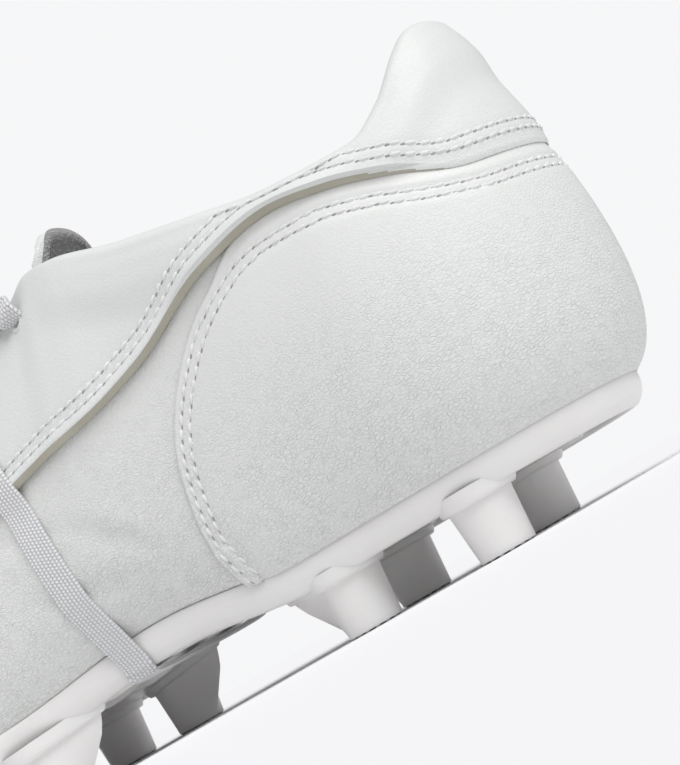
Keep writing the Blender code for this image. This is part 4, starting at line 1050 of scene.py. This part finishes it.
# along, across, width, buttress, heading
studs = [
    (0.133, 0.650, "heelWidth", 0.0, 0), (0.133, -0.650, "heelWidth", 0.0, 0),
    (0.2615, 0.563, "heelWidth", 1.0, -12), (0.2615, -0.563, "heelWidth", 1.0, -9),
    (0.572, 0.560, "ballWidth", 1.0, 190), (0.545, -0.700, "ballWidth", 1.0, 165),
    (0.676, 0.680, "ballWidth", 0.0, 0), (0.646, -0.860, "ballWidth", 0.0, 0),
    (0.722, -0.080, "ballWidth", 0.0, 0), (0.778, 0.640, "ballWidth", 0.0, 0),
    (0.752, -0.770, "ballWidth", 0.0, 0), (0.866, 0.450, "ballWidth", 0.0, 0),
    (0.850, -0.500, "ballWidth", 0.0, 0),
]
studSizes = {
    "base": 7.4,
    "tip": 6.3,
    "collar": 1.5,
    "step": 2.3,
    "buttress": 17.5,
    "sides": 72,
}

# Path of each rib under the waist (x, y), how far it stands proud, and its soft side's width
waistRibs = [
    ([(96, 0.4), (127, -0.6), (160, -1.0)], 1.5, 4.0),
    ([(74.1, -3.7), (82.2, -4.6), (92.1, -6.9), (125.8, -15.7), (150, -19.0)], 1.5, 4.5),
    ([(104, 7.0), (127, 12), (156, 17)], 1.3, 4.0),
    ([(74.1, -3.5), (79.3, 2.6)], 0.6, 2.5),
    ([(116.5, -6.9), (127, -8.8), (140, -11)], 0.8, 3.0),
    ([(135.8, -1.1), (146, 0.2), (153.2, 4.1), (159.2, 8.9)], 1.0, 3.5),
    ([(172, -24), (178, 0), (172, 24)], 0.5, 4.0),
    ([(203, -30), (209, 0), (203, 28)], 0.5, 4.0),
    ([(222, -30), (228, 0), (222, 26)], 0.5, 4.0),
]


def studCentre(stud):
    return np.array([shoe["heelOverhang"] + stud[0] * shoe["soleLength"], stud[1] * shoe[stud[2]] / 2])


def teardrop(angle, radius, reach, heading):
    # Radius at angles: a circle, with a straight-sided corner where reach is longer
    opening = np.arccos(np.minimum(1.0, radius / np.maximum(reach, radius)))
    away = np.abs(np.mod(angle - heading + math.pi, 2 * math.pi) - math.pi)
    return np.where(away < opening, radius / np.cos(np.minimum(opening - away, 1.5)), radius)


def floorRelief(x, y):
    # How far the sole's floor stands above its plain level; down is towards the ground
    behind = np.interp(np.abs(y), *zip(*solePlate["ledge"])) - x
    step = ramp(behind, -0.25, 0.55)
    relief = step * solePlate["pocketDepth"]
    soft = np.interp(np.abs(y), *zip(*solePlate["softLedge"])) - x
    relief = relief + 0.55 * ramp(soft, -2.5, 3.0)
    padFront = 62.0
    pad = (1 - step) * ramp(padFront - x, 0, 5) * ramp(np.abs(y), 3.0, 8.0)
    relief = relief - solePlate["padStep"] * pad * 0.8
    for path, height, softSide in waistRibs:
        away, along, side, length = pathDistance(x, y, path)
        ends = ramp(along, 0, length * 0.22) * ramp(length - along, 0, length * 0.22)
        profile = np.where(side > 0, np.exp(-(away / 0.6) ** 2), np.exp(-(away / softSide) ** 1.4))
        groove = 0.75 * np.exp(-((away - 1.35) / 0.75) ** 2) * (side > 0)
        relief = relief - height * ends * (profile - groove)
    for stud in studs:
        centre = studCentre(stud)
        angle = np.arctan2(y - centre[1], x - centre[0])
        out = teardrop(angle, studSizes["base"] + studSizes["collar"],
                       stud[3] * studSizes["buttress"] + studSizes["collar"], math.radians(stud[4]))
        away = np.hypot(x - centre[0], y - centre[1]) - out
        relief = np.where(away < 3.2, relief * ramp(away, 0.0, 3.2), relief)
        relief = relief - 0.55 * (1 - ramp(away, -0.2, 1.6))
    rivetAway = np.hypot(x - rivetX, y)
    relief = relief + 2.6 * (1 - ramp(rivetAway, 2.75, 3.15))
    return relief


rivetX = shoe["heelOverhang"] + 0.040 * shoe["soleLength"]


def makeSolePlate():
    half = solePlate["outlineSteps"] // 2
    inner = np.concatenate([[0], np.linspace(0, toePlace, half + 1)[1:]])
    outer = facingPlaces(inner)
    places = np.concatenate([inner, outer[-2:0:-1]])
    rim = smoothPath(np.array(solePlate["rim"]) * [soleLevels["rimWidth"], soleLevels["rimHeight"]],
                     solePlate["rimStep"])
    rim = np.vstack([rim, [[soleLevels["rimWidth"], soleLevels["rimHeight"] * soleLevels["floorLevel"]]]])
    rings = []
    for inset, level in rim:
        points, _ = soleEdge(places, inset)
        points[:, 2] = rimLevel(points[:, 0], level / soleLevels["rimHeight"])
        valley = soleLevels["rimWidth"] * solePlate["valleyStart"]
        blend = ramp(inset, valley, soleLevels["rimWidth"])
        if inset > valley and level < 2:
            points[:, 2] += floorRelief(points[:, 0], points[:, 1]) * blend
        rings.append(points)
    rings = np.array(rings)
    count = len(places)
    faces = [gridFaces(len(rings), count, True, flip=True)]
    innerEnd, outerEnd = rings[-1][:len(inner)], np.vstack([rings[-1][:1], rings[-1][:len(inner) - 1:-1],
                                                         rings[-1][len(inner) - 1:len(inner)]])
    floor = sheetBetween(innerEnd, outerEnd, solePlate["crossSteps"])
    floor[..., 2] = soleFloor(floor[..., 0]) + floorRelief(floor[..., 0], floor[..., 1])
    faces.append(gridFaces(floor.shape[0], floor.shape[1], start=rings.size // 3, flip=True))
    topEdge = rings[0]
    innerTop, outerTop = topEdge[:len(inner)], np.vstack([topEdge[:1], topEdge[:len(inner) - 1:-1],
                                                          topEdge[len(inner) - 1:len(inner)]])
    lid = sheetBetween(innerTop, outerTop, solePlate["lidSteps"])
    lid[..., 2] = rimLevel(lid[..., 0], 1.0)
    faces.append(gridFaces(lid.shape[0], lid.shape[1], start=rings.size // 3 + floor.size // 3))
    points = np.vstack([rings.reshape(-1, 3), floor.reshape(-1, 3), lid.reshape(-1, 3)])
    obj = makePiece("solePlate", points, np.vstack(faces), [finish["sole"]], ("outsole",))
    weld(obj)
    return obj


def weld(obj, distance=0.02):
    work = bmesh.new()
    work.from_mesh(obj.data)
    bmesh.ops.remove_doubles(work, verts=work.verts, dist=distance / 1000)
    bmesh.ops.dissolve_degenerate(work, edges=work.edges, dist=0.000001)
    bmesh.ops.recalc_face_normals(work, faces=work.faces)
    work.to_mesh(obj.data)
    work.free()


makeSolePlate()
print("sole plate made")


# Studs: joined lofts with a rounded collar, a groove, a tapering flank and a nubbed tip

nubs = {
    "recess": 0.35,
    "innerRing": 2.83,
    "outerRing": 5.35,
    "outerCount": 14,
    "radius": 0.62,
}


def makeStuds():
    points, faces, faceMaterial = [], [], []
    angles = turns(studSizes["sides"])
    for stud in studs:
        centre = studCentre(stud)
        heading = math.radians(stud[4])
        floor = float(soleFloor(centre[0]))
        base, tip, step = studSizes["base"], studSizes["tip"], studSizes["step"]
        reach = stud[3] * studSizes["buttress"]
        # radius beyond the base, corner beyond the reach, level, share of the way to the tip's circle
        profile = [(1.9, 1.9, floor + 1.2), (1.75, 1.75, floor - 0.35), (1.62, 1.62, floor - 0.9),
                   (1.5, 1.5, floor - 1.35), (1.28, 1.28, floor - 1.85), (0.95, 0.95, floor - 2.2),
                   (0.55, 0.6, floor - 2.32), (0.2, 0.3, floor - 2.2), (0.0, 0.0, floor - 1.98),
                   (-0.12, -0.15, floor - 2.05)]
        rings = []
        for extra, corner, level in profile:
            radius = teardrop(angles, base + extra, reach + corner if reach else 0.0, heading)
            rings.append((radius, np.full(len(angles), level)))
        start = teardrop(angles, base - 0.2, max(reach - 0.3, 0), heading)
        for share in (0.08, 0.2, 0.35, 0.5, 0.65, 0.8, 0.92):
            radius = start * (1 - share) + tip * share
            rings.append((radius, np.full(len(angles), (floor - step) * (1 - share) + 0.75 * share)))
        serrated = 0.10 * np.cos(angles * nubs["outerCount"] * 2)
        rings.append((tip - 0.02 + serrated * 0.4, np.full(len(angles), 0.55)))
        rings.append((tip - 0.2 + serrated, np.full(len(angles), 0.34)))
        rings.append((tip - 0.45 + serrated, np.full(len(angles), nubs["recess"] - 0.03)))
        rings.append((np.full(len(angles), tip - 1.4), np.full(len(angles), nubs["recess"])))
        rings.append((np.full(len(angles), 0.01), np.full(len(angles), nubs["recess"] + 0.02)))
        first = len(points)
        for radius, level in rings:
            x = centre[0] + radius * np.cos(angles)
            followed = (soleFloor(x) - floor) * ramp(level, floor - 4.0, floor - 2.4)
            points += np.stack([x, centre[1] + radius * np.sin(angles), level + followed], -1).tolist()
        made = gridFaces(len(rings), len(angles), True, first, flip=True)
        faces += made.tolist()
        faceMaterial += [0] * len(made)
        spots = [(0.0, 0.0)]
        spots += [(nubs["innerRing"], math.pi / 2 + math.pi / 3 * index) for index in range(6)]
        spots += [(nubs["outerRing"], 2 * math.pi * (index + 0.5) / nubs["outerCount"])
                  for index in range(nubs["outerCount"])]
        around = turns(10)
        for distance, angle in spots:
            x, y = centre[0] + distance * math.cos(angle), centre[1] + distance * math.sin(angle)
            first = len(points)
            size = nubs["radius"]
            for radius, level in ((size, 0.45), (size * 0.98, 0.16), (size * 0.82, 0.04), (size * 0.45, 0.0),
                                  (0.01, 0.0)):
                points += [[x + radius * math.cos(turn), y + radius * math.sin(turn), level]
                           for turn in around]
            faces += gridFaces(5, 10, True, first, flip=True).tolist()
            # nub faces take the darker nub colour
            faceMaterial += [1] * 40
    makePiece("soleStuds", points, faces, [finish["sole"], finish["nub"]], ("outsole",),
              faceMaterial, sharp=50)


makeStuds()
print("studs made")


def makeRivet():
    # Turned rivet head with a soft dome and a bevelled edge, looked at from below
    radius = (rivetHigh.x - rivetLow.x) * 500
    low, high = rivetLow.z * 1000, rivetHigh.z * 1000
    profile = [(0.01, low + 0.10), (0.9, low + 0.08), (1.0, low - 0.02), (1.7, low - 0.04),
               (radius - 0.55, low + 0.05),
               (radius - 0.2, low + 0.2), (radius, low + 0.45), (radius, high), (0.01, high)]
    angles = turns(48)
    points = [[rivetX + size * math.cos(angle), size * math.sin(angle), level] for size, level in profile
              for angle in angles]
    return makePiece("heelRivet", points, gridFaces(len(profile), 48, True), [finish["rivet"]],
                     ("heel_rivet",), sharp=40)


makeRivet()


footbed = {
    "thickness": 3.5,
    "inset": 3.4,
    "cup": 1.0,
    "clear": 0.3,
    "rounded": 0.5,
    "rows": 150,
    "columns": 40,
}


def makeFootbed():
    rows, columns, rounded = footbed["rows"], footbed["columns"], footbed["rounded"]
    inner = np.linspace(0, toePlace, rows)
    outer = facingPlaces(inner)
    few = np.linspace(0, 1, columns)
    sheets = []
    for level, inset in ((0.0, 0.0), (footbed["thickness"] - rounded, 0.0), (footbed["thickness"], rounded)):
        left, _ = soleEdge(inner, footbed["inset"] + inset)
        right, _ = soleEdge(outer, footbed["inset"] + inset)
        sheet = sheetBetween(left, right, columns)
        hollow = 4 * few * (1 - few) * footbed["cup"] * (level > footbed["thickness"] - 0.1)
        sheet[..., 2] = soleTop(sheet[..., 0]) + footbed["clear"] + level - hollow[None, :] * ramp(inner, 0, 20)[:, None]
        sheets.append(sheet)
    size = sheets[0].size // 3
    faces = [gridFaces(rows, columns), gridFaces(rows, columns, start=2 * size, flip=True)]
    border = list(range(0, size, columns)) + list(range(size - columns + 1, size))
    border += list(range(size - columns - 1, 0, -columns)) + list(range(columns - 2, 0, -1))
    following = np.roll(border, -1)
    for start in (0, size):
        faces.append(np.stack([border, following, following + size, np.array(border) + size], -1) + start)
    faces = np.vstack(faces)
    obj = makePiece("footbedSheet", np.vstack([sheet.reshape(-1, 3) for sheet in sheets]), faces,
                    [finish["footbed"]], ("insole",))
    weld(obj)
    return obj


makeFootbed()
print("rivet and footbed made")


# Tongue: a soft pad under the throat, leather outside and grey cloth towards the foot

tongue = {
    "thickness": 3.6,
    "flank": 13.0,
    "crown": 2.2,
    "rise": 19.0,
    "gap": 1.0,
    "tops": [0.6538, 0.640, 0.627, 0.595, 0.553, 0.510, 0.467, 0.430],
    "rows": 70,
    "columns": 46,
    "edgeRound": 2.4,
}


def tongueSection(top):
    below = -(shoe["wall"] + tongue["gap"] + tongue["thickness"] / 2)
    inner, outer = findPlace(1, top), findPlace(-1, top)
    flank = np.array([1.0, 0.6, 0.25]) * tongue["flank"]
    right, rightOut = upperFace(outer, shareDown(outer, flank)[0])
    left, leftOut = upperFace(inner, shareDown(inner, flank[::-1])[0])
    rightEdge, rightEdgeOut = upperFace(outer, 0.995)
    leftEdge, leftEdgeOut = upperFace(inner, 0.995)
    start, end = (rightEdge + rightEdgeOut * below)[0], (leftEdge + leftEdgeOut * below)[0]
    middle = []
    for share in (0.15, 0.5, 0.85):
        point = start * (1 - share) + end * share
        point[2] += tongue["crown"] * 4 * share * (1 - share)
        middle.append(point)
    return np.vstack([right + rightOut * below, middle, left + leftOut * below])


def makeTongue():
    sections = [tongueSection(top * shoe["length"]) for top in tongue["tops"]]
    base = sections[-1]
    step = unit(sections[-1][4] - sections[-2][4])
    rising = unit(step + [0, 0, 0.9])
    for rise, narrow in ((0.4, 0.80), (0.75, 0.74), (1.0, 0.62)):
        section = base + rising * tongue["rise"] * rise
        section[:, 1] = base[4, 1] + (base[:, 1] - base[4, 1]) * narrow
        section[:, 2] += (base[4, 2] - base[:, 2]) * 0.5 * rise
        sections.append(section)
    across = [smoothPath(section, 0.3) for section in sections]
    share = np.linspace(0, 1, tongue["columns"])
    across = np.array([np.stack([np.interp(share, np.linspace(0, 1, len(path)), path[:, axis])
                                 for axis in range(3)], -1) for path in across])
    columns = []
    for column in range(tongue["columns"]):
        path = smoothPath(across[:, column], 0.3)
        even = np.linspace(0, 1, tongue["rows"])
        columns.append(np.stack([np.interp(even, np.linspace(0, 1, len(path)), path[:, axis])
                                 for axis in range(3)], -1))
    grid = np.array(columns).transpose(1, 0, 2)
    alongStep, acrossStep = np.gradient(grid, axis=0), np.gradient(grid, axis=1)
    normals = unit(np.cross(acrossStep, alongStep))
    if normals[10, 20, 2] < 0:
        normals = -normals
    width = np.linalg.norm(acrossStep, axis=2)
    sideways = np.minimum(np.cumsum(width, axis=1), np.cumsum(width[:, ::-1], axis=1)[:, ::-1]) - width
    long = np.linalg.norm(alongStep, axis=2)
    toTop = np.cumsum(long[::-1], axis=0)[::-1] - long
    edge = np.minimum(sideways, toTop)
    inside = np.clip(edge / tongue["edgeRound"], 0, 1)
    thick = tongue["thickness"] * np.sqrt(1 - (1 - inside) ** 2)
    seam = 0.5 * np.exp(-((edge - 4.2) / 0.8) ** 2)
    swell = 0.5 * ramp(edge, 5, 9)
    outer = grid + normals * (thick / 2 - seam + swell)[..., None]
    lower = grid - normals * (thick / 2 - 0.5 * seam + swell * 0.6)[..., None]
    rows, count = tongue["rows"], tongue["columns"]
    size = rows * count
    faces = [gridFaces(rows, count), gridFaces(rows, count, start=size, flip=True)]
    foot = [(column, column + 1, column + 1 + size, column + size) for column in range(count - 1)]
    faces.append(np.array(foot))
    faces = np.vstack(faces)
    faceMaterial = [0] * ((rows - 1) * (count - 1)) + [1] * ((rows - 1) * (count - 1)) + [1] * (count - 1)
    obj = makePiece("tonguePad", np.vstack([outer.reshape(-1, 3), lower.reshape(-1, 3)]), faces,
                    [finish["tongue"], finish["lining"]], ("tongue",), faceMaterial)
    weld(obj, 0.01)
    rowPaths = []
    top = np.array(outer)
    for margin in (3.0,):
        paths = []
        for row in range(4, rows):
            column = int(np.argmax(edge[row, :count // 2] >= margin))
            if edge[row, column] >= margin:
                paths.append((row, column))
        left = [top[row, column] for row, column in paths]
        right = [top[row, count - 1 - column] for row, column in paths]
        rowPaths += [left, right]
    return obj, rowPaths


tonguePiece, tongueRows = makeTongue()
tongueTree = surfaceTree(tonguePiece)
makeStitches("tongueStitches", [stitchRow(row, tongueTree) for row in tongueRows],
             lambda point: np.array([point[0], point[1], point[2] - 20]))
print("tongue made")


# Laces: flat plaited strips through the eyelets, and one round the waist

lace = {
    "width": 7.0,
    "thickness": 1.1,
    "margin": 8.0,
    "arch": 2.0,
    "start": 0.415,
    "end": 0.628,
    "pairs": 5,
    "knots": 8.0,
    "pitch": 8.5,
    "relief": 0.15,
}
archLace = {
    "tops": (0.412, 0.424, 0.530),
    "leans": (0.36, -0.20),
    "lastTouch": 0.20,
    "clear": 0.75,
    "landing": 13.0,
}
bandLift = collarBand["lift"]


def knotRelief(across, along):
    odd = np.mod(np.floor(across * lace["knots"]), 2) * 0.5
    wave = np.abs(np.sin((along * lace["pitch"] + odd) * math.pi)) ** 0.6
    return wave * np.abs(np.sin(across * lace["knots"] * math.pi)) ** 0.6


def ribbon(points, normals, step, acrossCount, relief=0.0, width=None):
    # A flat strip with rounded edges, lying square to its normals
    path = smoothPath(np.hstack([np.asarray(points, float), np.asarray(normals, float)]), step)
    middle, normal = path[:, :3], unit(path[:, 3:])
    tangent = unit(np.gradient(middle, axis=0))
    sideways = unit(np.cross(tangent, normal))
    normal = np.cross(sideways, tangent)
    lengths = lengthsAlong(middle)
    half = (width or lace["width"]) / 2
    across = np.linspace(-1, 1, acrossCount)
    upperSide = (across, np.sqrt(np.maximum(0, 1 - np.abs(across) ** 8)))
    lowerSide = (across[-2:0:-1], -np.sqrt(np.maximum(0, 1 - np.abs(across[-2:0:-1]) ** 8)))
    out = np.concatenate([upperSide[0], lowerSide[0]])
    rise = np.concatenate([upperSide[1], lowerSide[1]])
    selvedge = 0.12 * np.exp(-((np.abs(out) - 0.93) / 0.07) ** 2)
    along = lengths[:, None] / lace["width"]
    knots = knotRelief((out[None, :] + 1) / 2, along)
    height = rise[None, :] * (lace["thickness"] / 2 + selvedge[None, :] + relief * (knots - 0.5))
    made = (middle[:, None, :] + sideways[:, None, :] * (out * half)[None, :, None]
            + normal[:, None, :] * height[..., None])
    uv = np.stack([np.broadcast_to(value, height.shape) for value in ((out[None, :] + 1) / 2, along)], -1)
    count = len(out)
    faces = gridFaces(len(middle), count, True).tolist()
    faces.append(list(range(count))[::-1])
    faces.append(list(range((len(middle) - 1) * count, len(middle) * count)))
    return made.reshape(-1, 3), faces, uv.reshape(-1, 2)


def joinRibbons(name, strips, replaced):
    points, faces, uv, first = [], [], [], 0
    for made, quads, places in strips:
        points.append(made)
        uv.append(places)
        faces += [[corner + first for corner in quad] for quad in quads]
        first += len(made)
    makePiece(name, np.vstack(points), faces, [finish["lace"]], replaced, uv=np.vstack(uv))


def onFace(place, down, lift):
    # Point and outward direction at a distance down from the open edge
    share = shareDown(place, np.array([max(0.0, down)]))[0]
    point, normal = upperFace(place, share)
    return (point + normal * lift)[0], normal[0]


def overThroat(side, startTop, endTop, lifted, under):
    # From an eyelet, over the open throat, to an eyelet across it or in under the edge there
    above = bandLift + lace["thickness"] / 2 + 0.1 + lifted
    inside = -(shoe["wall"] + 0.75)
    stops = [(side, 0.0, lace["margin"] + 0.4, -1.2), (side, 0.0, lace["margin"] - 0.9, above - 0.4),
             (side, 0.04, lace["margin"] - 3.4, above), (side, 0.14, 2.2, above),
             (side, 0.2, 0.0, above + 0.3)]
    if under:
        stops += [(-side, 0.86, 0.0, inside - 0.2), (-side, 0.9, 3.0, inside),
                  (-side, 1.0, lace["margin"], inside)]
    else:
        stops += [(-side, 0.8, 0.0, above + 0.3), (-side, 0.86, 2.2, above),
                  (-side, 0.96, lace["margin"] - 3.4, above),
                  (-side, 1.0, lace["margin"] - 0.9, above - 0.4), (-side, 1.0, lace["margin"] + 0.4, -1.2)]
    points, normals = [], []
    for stopSide, share, down, lift in stops:
        place = findPlace(stopSide, startTop + (endTop - startTop) * share)
        point, normal = onFace(place, down, lift)
        points.append(point)
        normals.append(normal)
    middle = (points[4] + points[5]) / 2
    middle[2] += lace["arch"] * (0.5 if under else 1.0)
    points.insert(5, middle)
    normals.insert(5, unit(normals[4] + normals[5]))
    return points, normals


def makeCrossings():
    tops = np.linspace(lace["start"], lace["end"], lace["pairs"]) * shoe["length"]
    strips = [ribbon(*overThroat(1, tops[-1], tops[-1], 0.0, False), 0.5, 15)]
    for pair in range(lace["pairs"] - 1):
        strips.append(ribbon(*overThroat(-1, tops[pair + 1], tops[pair], 0.0, True), 0.5, 15))
        strips.append(ribbon(*overThroat(1, tops[pair + 1], tops[pair], 1.0, True), 0.5, 15))
    joinRibbons("frontLace", strips, ("lace_bar", "lace_crossing_1", "lace_crossing_2", "lace_crossing_3",
                                      "lace_crossing_4"))
    return tops


eyeletTops = makeCrossings()


def archLeg(side):
    # Down one side of the shoe to the plate's rim, then in under it
    foot = findPlace(side, archLace["tops"][0 if side > 0 else 1] * shoe["length"])[0]
    top = findPlace(side, archLace["tops"][2] * shoe["length"])[0]
    lean = archLace["leans"][0 if side > 0 else 1]
    points, normals = [], []
    for share in np.linspace(0.985, archLace["lastTouch"], 11):
        place = np.array([foot + (top - foot) * (lean * share + (1 - lean) * share ** 2)])
        point, normal = upperFace(place, share)
        toBand = float(downToEdge(place, bandEdge)[0])
        down = float(np.interp(share, np.linspace(0, 1, 30),
                               [np.linalg.norm(onRib(ribFrame(place), np.array([1.0])) -
                                               onRib(ribFrame(place), np.array([value])))
                                for value in np.linspace(0, 1, 30)]))
        over = float(ramp(down, toBand + 4.0, toBand + 0.5)) * bandLift
        over += float(ramp(down, archLace["landing"] + 5, archLace["landing"] - 2)) * 2.6
        points.append(point[0] + normal[0] * (archLace["clear"] + over))
        normals.append(normal[0])
    _, outward = soleEdge(foot)
    for inset, level, turn in ((0.02, 0.55, 0.2), (0.15, 0.20, 0.6), (0.44, -0.01, 1.0)):
        point, _ = soleEdge(foot, inset * soleLevels["rimWidth"])
        point[2] = rimLevel(point[0], level)
        normal = unit(outward * (1 - turn) + np.array([0, 0, -1.0]) * turn)
        points.append(point + normal * (archLace["clear"] + 0.1))
        normals.append(normal)
    return points, normals


def makeArchLace():
    legs = {side: archLeg(side) for side in (1, -1)}
    start, end = lace["start"] * shoe["length"], archLace["tops"][2] * shoe["length"]
    lowPoints, lowNormals = overThroat(1, start, end, 2.3, False)
    highPoints, highNormals = overThroat(-1, start, end, 3.5, False)
    under = [legs[-1][0][-1] * (1 - share) + legs[1][0][-1] * share for share in (0.33, 0.67)]
    for point in under:
        point[2] -= 0.25
    down = np.array([0, 0, -1.0])
    points = lowPoints[:7] + legs[-1][0][1:] + under + legs[1][0][:0:-1] + highPoints[6::-1]
    normals = lowNormals[:7] + legs[-1][1][1:] + [down, down] + legs[1][1][:0:-1] + highNormals[6::-1]
    strip = ribbon(points, normals, 0.36, 33, lace["relief"])
    joinRibbons("archLace", [strip], ("arch_lace",))


makeArchLace()
print("laces made")


# Eyelets: a pressed rim round a dark disc, painted shade for the hole in the band

eyelet = {
    "radius": 2.1,
    "sides": 28,
}


def makeEyelets():
    points, faces, faceMaterial = [], [], []
    # the last column marks the rings of the dark disc of painted hole shade (1) and of the leather rim (0)
    profile = [(0.01, 0.10, 1), (0.72, 0.10, 1), (0.86, 0.12, 0), (0.93, 0.30, 0), (1.0, 0.42, 0),
               (1.12, 0.40, 0),
               (1.24, 0.22, 0), (1.30, -0.15, 0)]
    for top in eyeletTops:
        for side in (1, -1):
            place = findPlace(side, top)
            centre, normal = onFace(place, lace["margin"], bandLift)
            across = unit(np.cross(normal, [0, 0, 1.0]))
            up = np.cross(across, normal)
            first = len(points)
            for size, level, _ in profile:
                for turn in turns(eyelet["sides"]):
                    radius = size * eyelet["radius"]
                    spot = centre + (across * math.cos(turn) + up * math.sin(turn)) * radius
                    points.append(spot + normal * (level * 0.9))
            faces += gridFaces(len(profile), eyelet["sides"], True, first).tolist()
            faceMaterial += [shade for _, _, shade in profile[1:] for _ in range(eyelet["sides"])]
    makePiece("eyeletRims", points, faces, [finish["band"], finish["hole"]], (), faceMaterial)


makeEyelets()
print("eyelets made")


# Floor, light and camera

studio = {
    "floorColour": (0.885, 0.885, 0.893),
    "backdrop": (0.925, 0.928, 0.938),
    "fill": (0.445, 0.445, 0.458),
    "sunTowards": (-0.42, 0.36, 0.85),
    "sunStrength": 2.2,
    "sunSize": 48.0,
}
view = {
    "target": (-0.082, 0.028, 0.047),
    "towards": (-0.356, 0.934),
    "distance": 0.335,
    "height": 0.004,
    "roll": 30.0,
    "lens": 77.4,
}


def makeStudio():
    material, tree, shader, _ = startMaterial("pale floor", studio["floorColour"], 0.9)
    shader.inputs["Specular IOR Level"].default_value = 0.0
    mesh = bpy.data.meshes.new("floor")
    mesh.from_pydata([(-6, -6, 0), (6, -6, 0), (6, 6, 0), (-6, 6, 0)], [], [(0, 1, 2, 3)])
    mesh.materials.append(material)
    floor = bpy.data.objects.new("floor", mesh)
    bpy.context.scene.collection.objects.link(floor)
    world = bpy.data.worlds.new("pale studio")
    bpy.context.scene.world = world
    world.use_nodes = True
    tree = world.node_tree
    background = tree.nodes["Background"]
    seen = addNode(tree, "ShaderNodeLightPath").outputs["Is Camera Ray"]
    tree.links.new(mixColours(tree, seen, studio["fill"], studio["backdrop"]), background.inputs["Color"])
    light = bpy.data.lights.new("softKey", "SUN")
    light.energy = studio["sunStrength"]
    light.angle = math.radians(studio["sunSize"])
    lamp = bpy.data.objects.new("softKey", light)
    lamp.rotation_euler = Vector(studio["sunTowards"]).to_track_quat("Z", "Y").to_euler()
    bpy.context.scene.collection.objects.link(lamp)
    settings = bpy.context.scene.view_settings
    settings.view_transform = "Standard"
    settings.look = "None"


def makeCamera():
    camera = bpy.data.cameras.new("camera")
    camera.lens = view["lens"]
    camera.sensor_width = 36
    camera.clip_start = 0.01
    camera.clip_end = 50
    obj = bpy.data.objects.new("camera", camera)
    target = Vector(view["target"])
    place = target + Vector((*view["towards"], 0)) * view["distance"]
    place.z = view["height"]
    back = (place - target).normalized()
    right = Vector((0, 0, 1)).cross(back).normalized()
    up = back.cross(right)
    roll = math.radians(view["roll"])
    rolledRight = right * math.cos(roll) - up * math.sin(roll)
    rolledUp = up * math.cos(roll) + right * math.sin(roll)
    matrix = Matrix((rolledRight, rolledUp, back)).transposed().to_4x4()
    matrix.translation = place
    obj.matrix_world = matrix
    bpy.context.scene.collection.objects.link(obj)
    bpy.context.scene.camera = obj


makeStudio()
makeCamera()
print("studio and camera made")
